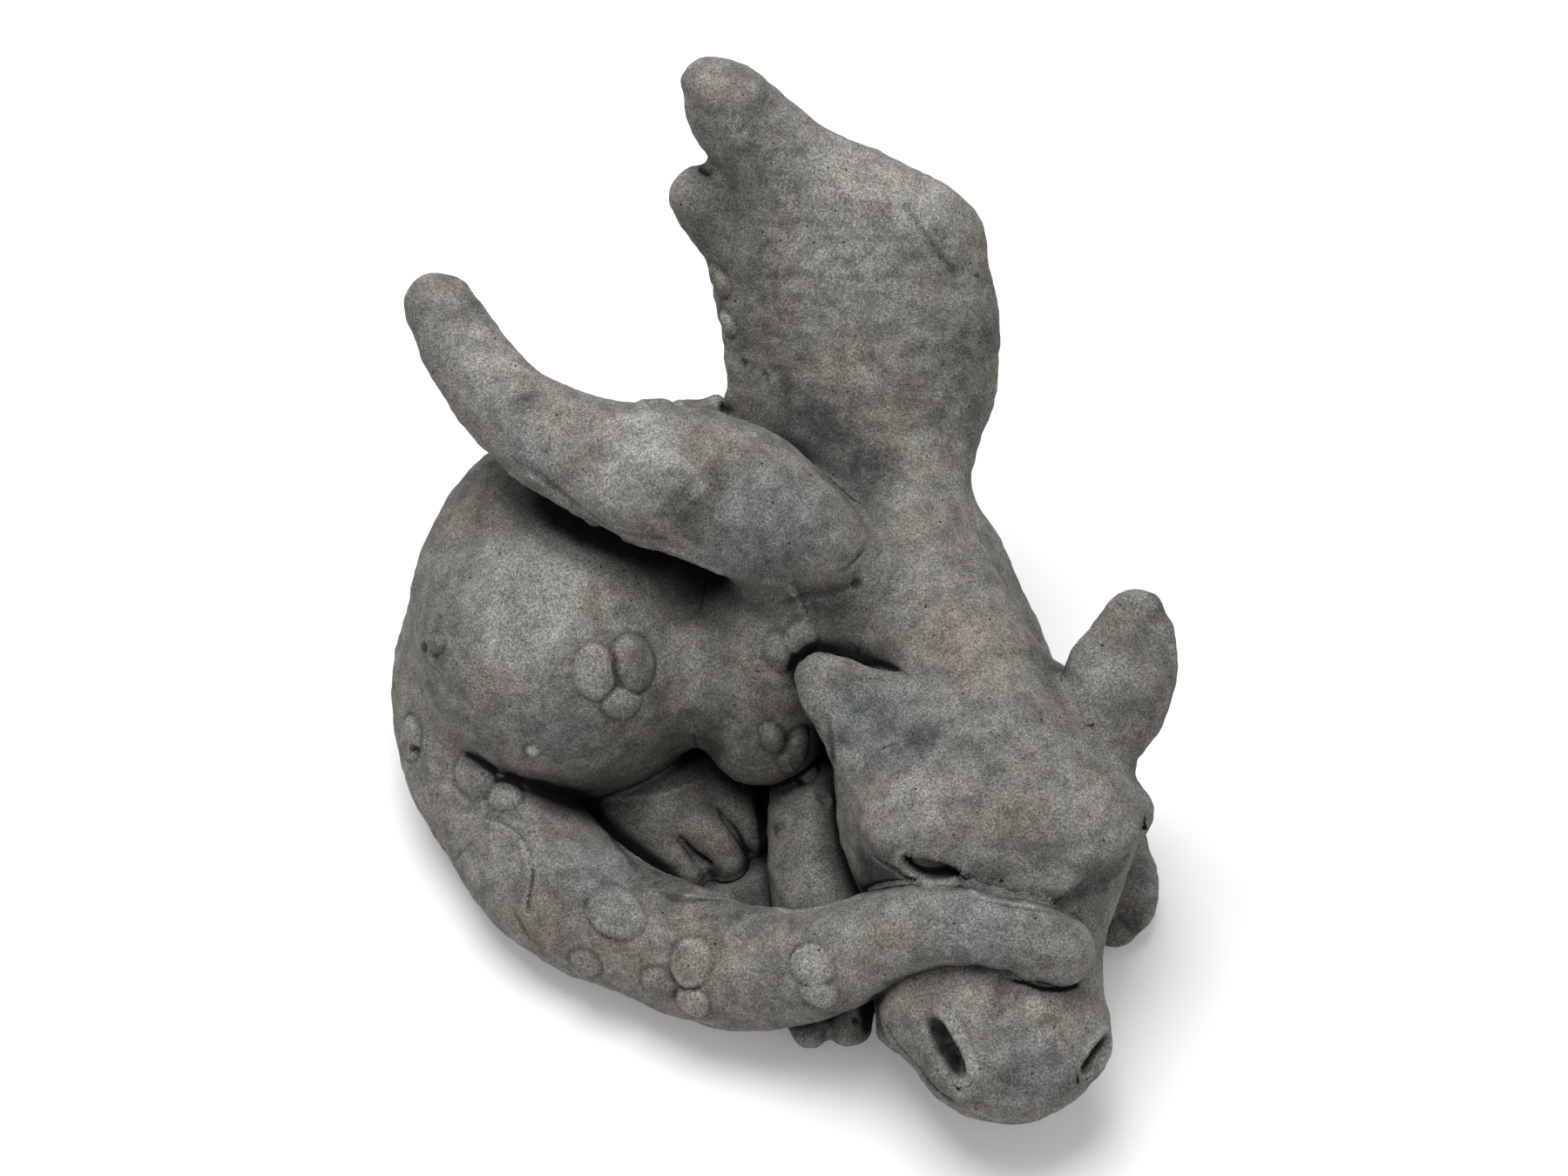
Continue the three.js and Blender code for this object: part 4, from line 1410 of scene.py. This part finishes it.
@dataclass(frozen=True)
class Wings:
    """The near and the far wing."""

    right: tuple[Station, ...] = (
        (19, 16, 91, 6.5, 7), (11.5, 19, 97, 13, 14), (0, 23.3, 104, 18.5, 19),
        (-19, 29.5, 112, 21, 19), (-39, 32.2, 116.6, 18, 16), (-60.7, 39.8, 119, 15, 13.8),
        (-78.7, 53.3, 123.7, 12.3, 11.6), (-90.5, 69.3, 130.3, 10.7, 10),
        (-94.8, 78.5, 134.3, 9.8, 9.2),
    )
    left: tuple[Station, ...] = (
        (26, 44, 80, 23, 22), (22.3, 59, 93, 31.5, 19), (22.1, 70.5, 104, 37.6, 17),
        (22, 79.5, 116, 39.1, 17), (20.2, 86, 126, 39.8, 17), (18.4, 91.5, 137, 38.3, 16),
        (18.7, 96, 149, 36.6, 15), (12.5, 99, 159, 31.2, 14.3), (2.3, 101, 167, 22.2, 12.8),
        (-7, 102.8, 174.2, 17.6, 11.5), (-11.8, 104.3, 181, 14.2, 11), (-15, 105.6, 186.8, 11.6, 10.4),
    )
    left_finger: tuple[Station, ...] = (
        (-2, 95, 136, 16, 11), (-12.2, 96, 145, 13, 9.5), (-19.8, 97, 152.8, 10.3, 8),
        (-23.2, 97.8, 158.4, 8.9, 7.4),
    )

    def masses(self) -> tuple[Mass, ...]:
        """Both wings."""
        tip = Limb(self.left_finger, up=(0, -0.8, 0.6), melt=5)
        far = Limb(self.left, up=(0, -0.8, 0.6), across=(1, 0, 0), melt=9)
        near = Limb(self.right, up=(0, -0.64, 0.77), melt=(8, 8, 9, 10, 10, 9, 6, 3, 2))
        return (Mass("left_wing", (far, tip), voxel=0.85), Mass("right_wing", (near,), voxel=0.75))

    def marks(self) -> tuple[Mark, ...]:
        """Knuckles, wrinkles and stains of the wings, with painted shade and painted highlights."""
        return (
            ridge((723, 484, 3), (735, 496, 4), (750, 512, 4), (766, 533, 2.6), rise=1.7),
            ridge((779, 521, 2.2), (793, 540, 3), (810, 561, 2.4), rise=1.4),
            valley((770, 492, 3), (785, 512, 4), (800, 532, 3), deep=1.1),
            valley((815, 520, 5), (832, 545, 6), (842, 570, 5), deep=1.0),
            ridge((850, 520, 4), (880, 555, 9), (905, 600, 9), rise=1.3),
            ridge((607, 547, 1.6), (654, 583, 2), (700, 612, 2.2), (766, 628, 2), (825, 655, 1.5), rise=1.0),
            crease((612, 541), (655, 575), (700, 604), (764, 620), wide=0.9, deep=0.5, dark=0.35),
            crease((905, 690), (925, 684), (955, 682), (975, 674), wide=0.7, deep=0.8, dark=0.7),
            crease((968, 655), (979, 645), (990, 632), wide=0.5, deep=0.6, dark=0.5),
            crease(
                (1040, 238), (1050, 254), (1061, 272), (1078, 294), (1095, 313), wide=0.9, deep=0.8, dark=0.5
            ),
            ridge((1070, 232, 4), (1085, 258, 5), (1100, 292, 4), rise=1.2),
            crease((894, 305), (889, 320), (892, 338), (888, 352), (898, 370), wide=0.4, deep=0.5, dark=0.6),
            crease((848, 152), (852, 147), (857, 141), wide=0.7, deep=0.7, dark=0.7),
            ridge((846, 118, 3), (842, 140, 3), (850, 165, 2.5), rise=0.8),
            ridge((840, 170, 4), (860, 235, 5), (893, 300, 5), rise=0.8),
            scale(824, 322, 3.2, 1.2, 1.59, 80),
            scale(834, 372, 2.8, 1.1, 1.50, 70),
            pit(853, 417, 0.9),
            crease((877, 429), (879, 436), (880, 442), wide=0.5, deep=0.8),
            pit(1123, 316, 0.6),
            crease((806, 192), (810, 195), (815, 198), wide=0.7, deep=1.0),
            *patches(
                Hue.COOL,
                (735, 500, 10, 0.6), (605, 510, 12, 0.6), (885, 600, 20, 1.0), (850, 640, 13, 0.8),
                (990, 300, 22, 0.5),
            ),
            *patches(
                Hue.WARM,
                (635, 480, 9, 0.8), (810, 505, 8, 0.6), (900, 300, 6, 0.7), (960, 430, 12, 0.5),
            ),
            # Painted shade: at the far wing's root between the two wings, along its left strip and low on its
            # right, and in places on the near wing.
            *patches(
                Hue.DARK,
                (600, 465, 6, 0.8), (790, 580, 9, 0.7), (822, 545, 7, 0.6), (890, 655, 10, 0.4),
                (545, 360, 7, 0.5), (940, 490, 17, 1.0), (975, 545, 17, 1.0), (905, 455, 8, 0.8),
                (860, 110, 8, 0.4), (872, 330, 9, 0.4), (880, 400, 12, 0.5), (1095, 470, 14, 0.35),
                (1120, 400, 10, 0.5),
            ),
            # Painted highlights across the near wing and on the far wing's middle and top.
            *patches(
                Hue.PALE,
                (740, 500, 14, 0.9), (560, 400, 14, 0.5), (700, 565, 12, 0.6), (620, 500, 12, 0.6),
                (800, 560, 3, 0.6), (985, 250, 38, 0.7), (845, 140, 6, 0.7), (1088, 275, 5, 0.5),
            ),
        )


@dataclass(frozen=True)
class Head:
    """Skull, snout, jaw, ears and the open eye."""

    cranium: Lump = Lump((53, -17, 52), (38, 34, 33.5), melt=4)
    forehead: Lump = Lump((56.5, -37.5, 50), (39.5, 33, 34), melt=14)
    snout: tuple[Station, ...] = (
        (56, -50, 45, 31, 26), (55.7, -70, 37, 29.6, 24), (55.1, -86, 32, 30, 20.5),
        (59, -99.3, 28, 24, 18.3),
    )
    jaw: tuple[Station, ...] = (
        (56, -46, 20, 26, 13), (54, -70, 18, 29.5, 12), (53, -83.5, 16, 28, 10.5),
    )
    right_ear: tuple[Station, ...] = (
        (46, -31, 62, 16, 9), (37, -27, 67.5, 17.5, 8), (26, -22, 73, 16.5, 7.5),
        (16, -16, 78, 11.5, 6.5), (7.5, -8.2, 81.3, 6, 4.8),
    )
    left_ear: tuple[Station, ...] = (
        (85, -26, 64, 9.5, 9), (89.3, -17, 75, 15, 9), (90.8, -11, 82, 15.1, 8),
        (91.4, -6, 87.5, 13.6, 7), (93, -2, 92, 10.5, 6), (93.6, 1.2, 97.5, 6.6, 5),
    )
    right_brow: Lump = Lump((36, -46, 66), (15, 13, 9), melt=8)
    left_brow: Lump = Lump((80, -46, 64), (15, 12, 9), melt=8)
    left_knob: Lump = Lump((92.4, -37.5, 56), (7.2, 7.5, 7), melt=4)
    right_rim: Lump = Lump((43, -90, 38), (9, 13, 9), melt=6)
    left_rim: Lump = Lump((78.6, -91.5, 31.5), (6.6, 9, 8), melt=5)
    eye: Lump = Lump((39.5, -55.4, 67.2), (8.2, 8.2, 8.2))

    def cluster(self) -> Cluster:
        """The head as masses that melt into each other."""
        brows = (self.right_brow, self.left_brow, self.left_knob)
        skull = Mass("head", (self.cranium, self.forehead, *brows), voxel=0.62)
        muzzle = Limb(self.snout, melt=12, stiff=True)
        snout = Mass("snout", (muzzle, self.right_rim, self.left_rim), voxel=0.6)
        jaw = Mass("lower_jaw", (Limb(self.jaw, melt=1.2),), voxel=0.8)
        right = Limb(self.right_ear, up=(-0.3, -0.6, 0.74), melt=8)
        left = Limb(self.left_ear, up=(0.2, -0.6, 0.77), across=(1, 0, 0), melt=5)
        ears = (Mass("right_ear", (right,), voxel=0.55), Mass("left_ear", (left,), voxel=0.6))
        return Cluster((skull, snout, jaw, *ears), melt=3)

    def marks(self) -> tuple[Mark, ...]:
        """Everything that is worked into the face and the ears."""
        return (*self.ear_marks(), *self.brow_marks(), *self.eye_marks(), *self.snout_marks())

    def ear_marks(self) -> tuple[Mark, ...]:
        """The hollow of the near ear, and where the head meets the neck."""
        return (
            valley((955, 790, 5), (980, 811, 8), (1004, 828, 8), deep=2.4),
            valley((946, 795, 2.5), (957, 836, 3), (967, 860, 2.5), deep=0.8),
            crease((1003, 763), (1018, 768), (1036, 772), (1052, 776), wide=0.8, deep=1.0, dark=0.7),
            valley(
                (1052, 776, 3), (1084, 778, 4), (1112, 770, 4.5), (1145, 760, 4.5), (1188, 755, 3), deep=0.8
            ),
            *patches(Hue.COOL, (1000, 835, 17, 1.0), (1050, 850, 10, 0.9)),
            # The first two: stain with painted shade in the ear's hollow, and a painted shadow to its right.
            *patches(
                Hue.DARK,
                (1015, 850, 16, 0.35), (1062, 846, 9, 0.75), (1035, 880, 6, 0.55), (1330, 690, 5, 0.6),
                (1312, 820, 8, 0.4),
            ),
            *patches(Hue.PALE, (975, 868, 5, 0.5), (1262, 775, 11, 0.5)),
        )

    def brow_marks(self) -> tuple[Mark, ...]:
        """The domes of the forehead and the frown between them."""
        return (
            ridge((1015, 945, 12), (1050, 935, 14), (1085, 950, 12), rise=1.6),
            ridge((1205, 920, 14), (1235, 935, 14), (1262, 945, 12), rise=1.6),
            valley((1128, 880, 9), (1136, 930, 9), (1146, 975, 8), (1152, 1005, 7), deep=1.6),
            ridge((1218, 1015, 5), (1240, 996, 6), (1262, 982, 6), (1298, 962, 4), rise=1.9),
            valley((1222, 1036, 3), (1243, 1018, 4), (1266, 1006, 4), (1297, 988, 3), deep=2.2),
            crease((1240, 1018), (1256, 1014), (1275, 1012), wide=0.6, deep=0.7, dark=0.8),
            crease((1242, 1026), (1258, 1022), (1274, 1021), wide=0.5, deep=0.6, dark=0.7),
            chip(1063, 953, 0.6),
            chip(1104, 969, 0.5),
            chip(1301, 962, 0.9),
            pit(1162, 950, 0.4),
            pit(1162, 956, 0.4),
            *patches(Hue.WARM, (1165, 940, 11, 0.7), (1000, 905, 7, 0.5)),
            # Painted shade low on the forehead, in the frown and under the far brow's ridge.
            *patches(Hue.DARK, (1146, 1000, 6, 0.55), (1100, 960, 8, 0.35), (1255, 1015, 8, 0.45)),
            # Painted highlights on the tops of the two domes of the forehead.
            *patches(Hue.PALE, (1045, 915, 11, 0.4), (1240, 930, 13, 0.4)),
        )

    def eye_marks(self) -> tuple[Mark, ...]:
        """The lids round the open eye, and the folds below it."""
        slit = (
            (1042, 985, 0.7, 2), (1052, 992, 1.9, 4), (1070, 997, 2.4, 4.6), (1085, 999, 2.0, 4),
            (1099, 1000, 0.6, 2),
        )
        return (
            ridge((1024, 968, 6), (1052, 968, 7), (1082, 974, 7), (1106, 986, 6), rise=1.6),
            ridge((1032, 990, 1.4), (1046, 1006, 1.8), (1070, 1014, 2), (1094, 1011, 1.6), rise=0.8),
            Mark(Touch.TAKE, slit, 3.6, 0.4, Stain(Hue.DARK, 1.0, 0.4), "head"),
            crease((1007, 983), (1023, 994), (1039, 1007), (1058, 1017), wide=0.7, deep=0.9, dark=0.95),
            line(Hue.DARK, 1.0, (1053, 986), (1061, 987), wide=1.0),
            line(Hue.PALE, 0.8, (1003, 1021), (1030, 1019), (1060, 1018), (1085, 1019)),
            crease((1099, 1001), (1104, 1010), (1110, 1020), wide=0.6, deep=0.6),
            line(
                Hue.PALE, 0.9,
                (1100, 1000), (1107, 1010), (1113, 1021), (1125, 1029), (1140, 1033), (1185, 1042),
            ),
            line(Hue.DARK, 0.8, (1122, 1031), (1140, 1035), (1170, 1041), (1205, 1050)),
        )

    def snout_marks(self) -> tuple[Mark, ...]:
        """Nostrils with their rims, the mouth line, and the ridges over the nose."""
        hole = ((1073, 1177, 1.8, 5), (1080, 1190, 2.7, 7), (1090, 1208, 3.1, 8), (1102, 1231, 1.9, 6))
        side = ((1270, 1196, 2.2, 5), (1260, 1210, 2.6, 6), (1247, 1226, 2.2, 5))
        return (
            ridge((1052, 1158, 4), (1068, 1146, 4), (1086, 1158, 3.5), rise=0.8),
            ridge((1052, 1172, 4), (1060, 1198, 5), (1076, 1228, 5), (1100, 1254, 4), rise=0.9),
            ridge((1088, 1170, 1.8), (1104, 1200, 2.2), (1117, 1232, 2.2), rise=0.6),
            Mark(Touch.TAKE, hole, 6.0, 1.3, Stain(Hue.DARK, 1.0, 0.3), "snout"),
            Mark(Touch.TAKE, side, 4.0, 1.3, Stain(Hue.DARK, 0.9, 0.3), "snout"),
            valley((1160, 1118, 3), (1156, 1142, 4), (1150, 1165, 4), deep=0.9),
            ridge((1172, 1118, 3), (1180, 1140, 4), (1190, 1160, 5), rise=0.9),
            valley((1146, 1212, 6), (1153, 1232, 7), (1160, 1250, 6), deep=0.8),
            crease((1019, 1178), (1037, 1206), (1063, 1239), (1090, 1263), wide=0.9, deep=1.3, dark=0.7),
            *patches(Hue.COOL, (1190, 1230, 14, 0.8)),
            *patches(Hue.WARM, (1120, 1140, 8, 0.6), (1215, 1160, 9, 0.5)),
            *patches(Hue.DARK, (1157, 1238, 6, 0.5), (1150, 1130, 4, 0.4)),
            *patches(Hue.PALE, (1112, 1150, 8, 0.45), (1188, 1150, 5, 0.4), (1105, 1248, 5, 0.6)),
        )


# Materials


class Wire:
    """A node's output that can be used in sums, as a number would be."""

    def __init__(self, tree: NodeBook, socket: bpy.types.NodeSocket) -> None:
        """Keeps the socket and the tree that it belongs to."""
        self.tree = tree
        self.socket = socket

    def _math(self, operation: str, *values: Wire | float, clamp: bool = False) -> Wire:
        """Adds a Math node on these values."""
        settings = {"operation": operation, "use_clamp": clamp}
        return self.tree.node("ShaderNodeMath", settings, dict(enumerate(values)))

    def __add__(self, other: Wire | float) -> Wire:
        """Sum."""
        return self._math("ADD", self, other)

    __radd__ = __add__

    def __sub__(self, other: Wire | float) -> Wire:
        """Difference."""
        return self._math("SUBTRACT", self, other)

    def __rsub__(self, other: float) -> Wire:
        """Difference from a number."""
        return self._math("SUBTRACT", other, self)

    def __mul__(self, other: Wire | float) -> Wire:
        """Product."""
        return self._math("MULTIPLY", self, other)

    __rmul__ = __mul__

    def ramp(self, low: float, high: float) -> Wire:
        """Smooth step from 0 at low to 1 at high."""
        settings = {"interpolation_type": "SMOOTHSTEP"}
        values = {"Value": self, "From Min": low, "From Max": high}
        return self.tree.node("ShaderNodeMapRange", settings, values)

    def clamp(self) -> Wire:
        """The value held between 0 and 1."""
        return self._math("ADD", self, 0.0, clamp=True)

    def power(self, exponent: float) -> Wire:
        """The value to a power."""
        return self._math("POWER", self, exponent)


class NodeBook:
    """A material whose nodes are written as expressions."""

    def __init__(self, name: str) -> None:
        """Makes an empty node material."""
        self.material = bpy.data.materials.new(name)
        self.material.use_nodes = True
        self.nodes = self.material.node_tree.nodes
        self.links = self.material.node_tree.links
        self.nodes.clear()

    def node(
        self,
        kind: str,
        settings: dict[str, object] | None = None,
        values: dict[str | int, object] | None = None,
        output: str | int = 0,
    ) -> Wire:
        """Adds a node.

        Args:
            kind: Blender's name of the node type.
            settings: Its properties, set before its sockets are.
            values: A number, colour or link for each socket by name or place.
            output: The output that is wanted.

        Returns:
            That output.
        """
        made = self.nodes.new(kind)
        for name, value in (settings or {}).items():
            setattr(made, name, value)
        for name, value in (values or {}).items():
            if isinstance(value, Wire):
                self.links.new(value.socket, made.inputs[name])
            else:
                made.inputs[name].default_value = value
        return Wire(self, made.outputs[output])

    def surface(self, shader: Wire) -> bpy.types.Material:
        """Shows a shader as the material's surface."""
        shown = self.nodes.new("ShaderNodeOutputMaterial")
        self.links.new(shader.socket, shown.inputs["Surface"])
        return self.material

    def attribute(self, name: str) -> Wire:
        """A value stored on the mesh."""
        return self.node("ShaderNodeAttribute", {"attribute_name": name}, output="Fac")

    def noise(self, where: Wire, size: float, detail: float = 2.0, rough: float = 0.5) -> Wire:
        """Cloudy noise whose spots are about size millimetres across."""
        values = {"Vector": where, "Scale": 1 / (size * MM), "Detail": detail, "Roughness": rough}
        return self.node("ShaderNodeTexNoise", {}, values, "Fac")

    def blend(self, factor: Wire | float, first: object, second: object, kind: str = "MIX") -> Wire:
        """Mixes two colours."""
        settings = {"data_type": "RGBA", "blend_type": kind}
        return self.node("ShaderNodeMix", settings, {0: factor, 6: first, 7: second}, 2)

    def stretch(self, where: Wire, scale: Triple, turn: Triple = (0, 0, 0)) -> Wire:
        """Coordinates turned and scaled, for streaks."""
        return self.node("ShaderNodeMapping", {}, {"Vector": where, "Rotation": turn, "Scale": scale})


Colour = tuple[float, float, float, float]


@dataclass(frozen=True)
class CastStone:
    """Dark stained, dry brushed concrete."""

    middle: Colour = (0.168, 0.163, 0.147, 1)
    warm: Colour = (0.205, 0.170, 0.132, 1)
    cool: Colour = (0.148, 0.160, 0.165, 1)
    # dark: random stain and dark tints, and the painted shade in hollows and in dark patches
    dark: Colour = (0.050, 0.049, 0.047, 1)
    # black: pinholes, and the painted shade in the deepest hollows
    black: Colour = (0.004, 0.004, 0.004, 1)
    # pale: dry brushed wear, chips and seams, and also painted highlights
    pale: Colour = (0.420, 0.410, 0.385, 1)
    roughness: float = 0.9
    shine: float = 0.25
    cloud_size: float = 26
    hue_size: float = 13
    mottle_size: float = 6
    streak_size: float = 0.8
    streak_turn: Triple = (0.35, 0.1, 0)
    streak_stretch: Triple = (1, 1, 0.12)
    grain_size: float = 0.62
    fine_size: float = 0.33
    pit_spacing: float = 6
    pit_edge: tuple[float, float] = (0.075, 0.045)
    relief: float = 0.4
    relief_strength: float = 0.6

    def material(self) -> bpy.types.Material:
        """The stone, which reads the mesh's own layers and Object coordinates. Sizes are in millimetres."""
        book = NodeBook("cast_stone")
        where = book.node("ShaderNodeTexCoord", output="Object")
        # occlusion of each point, shown below as painted shade in hollows
        shelter = book.attribute("shelter")
        edge = book.attribute("edge")
        clouds = book.noise(where, self.cloud_size, 3, 0.55)
        mottle = book.noise(where, self.mottle_size, 4, 0.65)
        grain = book.noise(where, self.grain_size, 3, 0.75)
        fine = book.noise(where, self.fine_size, 2, 0.7)
        brushed = book.stretch(where, self.streak_stretch, self.streak_turn)
        streaks = book.noise(brushed, self.streak_size, 3, 0.6)
        hue = book.noise(where, self.hue_size, 3, 0.6)
        colour = book.blend(hue.ramp(0.45, 0.7) * 0.55, self.middle, self.warm)
        cool = (clouds.ramp(0.5, 0.7) * 0.35 + book.attribute("cool") * 0.8).clamp()
        colour = book.blend(cool, colour, self.cool)
        colour = book.blend((book.attribute("warm") * 0.6).clamp(), colour, self.warm)
        # Darker with random mottle and with the dark tints, some of which are painted shade.
        tint = (mottle.ramp(0.54, 0.34) * 0.3 + book.attribute("dark") * 0.8).clamp()
        colour = book.blend(tint, colour, self.dark)
        # Paler with dry brushed wear on edges and with the pale tints: chips, seams, and painted highlights.
        wear_and_highlight = edge.ramp(0.08, 0.6) * 0.6 + book.attribute("pale") * 0.7 + mottle.ramp(0.5, 0.7) * 0.2
        colour = book.blend((wear_and_highlight * (streaks.ramp(0.35, 0.7) * 0.7 + 0.3)).clamp(), colour, self.pale)
        # Painted shade: hollows darkened by their occlusion, and painted black shade in the deepest of them.
        painted_shade = (shelter + (mottle - 0.5) * 0.3).ramp(0.06, 0.38) * 0.5
        colour = book.blend(painted_shade.clamp(), colour, self.dark)
        painted_deep_shade = (shelter + (mottle - 0.5) * 0.25).ramp(0.38, 0.72)
        colour = book.blend(painted_deep_shade.clamp(), colour, self.black)
        speck = (grain.ramp(0.28, 0.72) * 1.1 + 0.45) * (fine.ramp(0.3, 0.7) * 0.8 + 0.6)
        speck = speck * (clouds.ramp(0.35, 0.65) * -0.2 + 1.14) * (mottle.ramp(0.35, 0.65) * 0.2 + 0.92)
        shade = book.node("ShaderNodeCombineColor", {}, {0: speck, 1: speck, 2: speck})
        colour = book.blend(1.0, colour, shade, "MULTIPLY")
        spacing = {"Vector": where, "Scale": 1 / (self.pit_spacing * MM)}
        pit = book.node("ShaderNodeTexVoronoi", {"feature": "F1"}, spacing, "Distance").ramp(*self.pit_edge)
        colour = book.blend(pit * 0.85, colour, self.black)
        height = grain * 0.6 + fine * 0.3 + mottle * 0.8 + streaks * 0.35 - pit * 1.5
        relief = {"Strength": self.relief_strength, "Distance": self.relief * MM, "Height": height}
        bump = book.node("ShaderNodeBump", {}, relief, "Normal")
        finish = {"Base Color": colour, "Roughness": self.roughness, "Normal": bump}
        finish["Specular IOR Level"] = self.shine
        return book.surface(book.node("ShaderNodeBsdfPrincipled", {}, finish))


@dataclass(frozen=True)
class PaleFloor:
    """White paper on which the figurine stands."""

    colour: Colour = (0.86, 0.86, 0.86, 1)
    glow: float = 0.14
    fade: tuple[float, float] = (0.5, 1.3)

    def material(self) -> bpy.types.Material:
        """Matt white that the camera sees a little brighter, with its shadows kept.

        Far from the figurine the camera sees it as white as the background.
        """
        book = NodeBook("pale_floor")
        seen = book.node("ShaderNodeLightPath", output="Is Camera Ray")
        glow = book.node("ShaderNodeEmission", {}, {"Color": (1, 1, 1, 1), "Strength": self.glow})
        white = book.node("ShaderNodeEmission", {}, {"Color": (1, 1, 1, 1), "Strength": 1.0})
        paper = book.node("ShaderNodeBsdfDiffuse", {}, {"Color": self.colour})
        place = book.node("ShaderNodeTexCoord", output="Object")
        far = book.node("ShaderNodeVectorMath", {"operation": "LENGTH"}, {0: place}, "Value").ramp(*self.fade)
        near = book.node("ShaderNodeAddShader", {}, {0: paper, 1: glow})
        both = book.node("ShaderNodeMixShader", {}, {0: far, 1: near, 2: white})
        return book.surface(book.node("ShaderNodeMixShader", {}, {0: seen, 1: paper, 2: both}))


# Studio


@dataclass(frozen=True)
class Studio:
    """Floor, light and camera."""

    view: View = View()
    floor_size: float = 6.0
    key_place: Triple = (-0.15, 0.2, 1.2)
    key_size: float = 0.7
    key_power: float = 13.0
    fill_place: Triple = (0.8, -0.9, 0.7)
    fill_size: float = 0.9
    fill_power: float = 1.2
    sky: float = 0.42

    def floor(self) -> bpy.types.Object:
        """A wide flat floor at the figurine's underside."""
        deselect_all()
        bpy.ops.mesh.primitive_plane_add(size=self.floor_size)
        plane = bpy.context.object
        plane.name = "floor"
        plane.data.materials.append(PaleFloor().material())
        return plane

    def lamp(self, name: str, place: Triple, size: float, power: float) -> bpy.types.Object:
        """A square soft lamp that points at the figurine.

        Args:
            name: The lamp's name.
            place: Where it hangs, in metres.
            size: Length of its side, in metres.
            power: Its power in watts.

        Returns:
            The lamp.
        """
        light = bpy.data.lights.new(name, "AREA")
        light.size = size
        light.energy = power
        lamp = bpy.data.objects.new(name, light)
        bpy.context.scene.collection.objects.link(lamp)
        lamp.location = place
        aim = (Vector(self.view.aim) - Vector(CENTRE)) * MM
        lamp.rotation_euler = (aim - Vector(place)).to_track_quat("-Z", "Y").to_euler()
        return lamp

    def world(self) -> None:
        """Even light from all round, and white behind all for the camera."""
        world = bpy.data.worlds.new("studio")
        bpy.context.scene.world = world
        world.use_nodes = True
        nodes, links = world.node_tree.nodes, world.node_tree.links
        light = nodes["Background"]
        paper = nodes.new("ShaderNodeBackground")
        for background, strength in ((light, self.sky), (paper, 1.0)):
            background.inputs["Color"].default_value = (1, 1, 1, 1)
            background.inputs["Strength"].default_value = strength
        path = nodes.new("ShaderNodeLightPath")
        mix = nodes.new("ShaderNodeMixShader")
        links.new(path.outputs["Is Camera Ray"], mix.inputs[0])
        links.new(light.outputs[0], mix.inputs[1])
        links.new(paper.outputs[0], mix.inputs[2])
        links.new(mix.outputs[0], nodes["World Output"].inputs["Surface"])

    def camera(self) -> bpy.types.Object:
        """The camera at the photograph's angle."""
        lens = bpy.data.cameras.new("camera")
        lens.lens = self.view.lens
        lens.sensor_width = self.view.sensor
        lens.sensor_fit = "HORIZONTAL"
        lens.clip_start = 0.01
        camera = bpy.data.objects.new("camera", lens)
        bpy.context.scene.collection.objects.link(camera)
        back = Vector(self.view.back)
        camera.location = (Vector(self.view.aim) - Vector(CENTRE) + back * self.view.away) * MM
        camera.rotation_euler = (-back).to_track_quat("-Z", "Y").to_euler()
        bpy.context.scene.camera = camera
        return camera

    def build(self) -> None:
        """Sets up the whole studio."""
        self.floor()
        self.lamp("key", self.key_place, self.key_size, self.key_power)
        self.lamp("fill", self.fill_place, self.fill_size, self.fill_power)
        self.world()
        self.camera()
        bpy.context.scene.view_settings.view_transform = "Standard"


def sculpture() -> Clay:
    """The whole sculpture, put together from its masses."""
    body, tail, legs, wings, head = Body(), Tail(), Legs(), Wings(), Head()
    members = (*body.masses(), *legs.upper(), *wings.masses(), *legs.lower(), head.cluster(), *tail.masses())
    clay = Clay(Cluster(members))
    clay.press([mark for part in (body, tail, legs, wings, head) for mark in part.marks()], View())
    return clay


def main() -> None:
    """Builds the sculpture and its studio."""
    logging.basicConfig(level=logging.INFO, format="%(message)s")
    clay = sculpture()
    sculptor = Sculptor(clay, CastStone().material())
    for mass in clay.masses():
        sculptor.make(mass)
    sculptor.ball("right_eye", Head().eye)
    Studio().build()


if __name__ == "__main__":
    main()
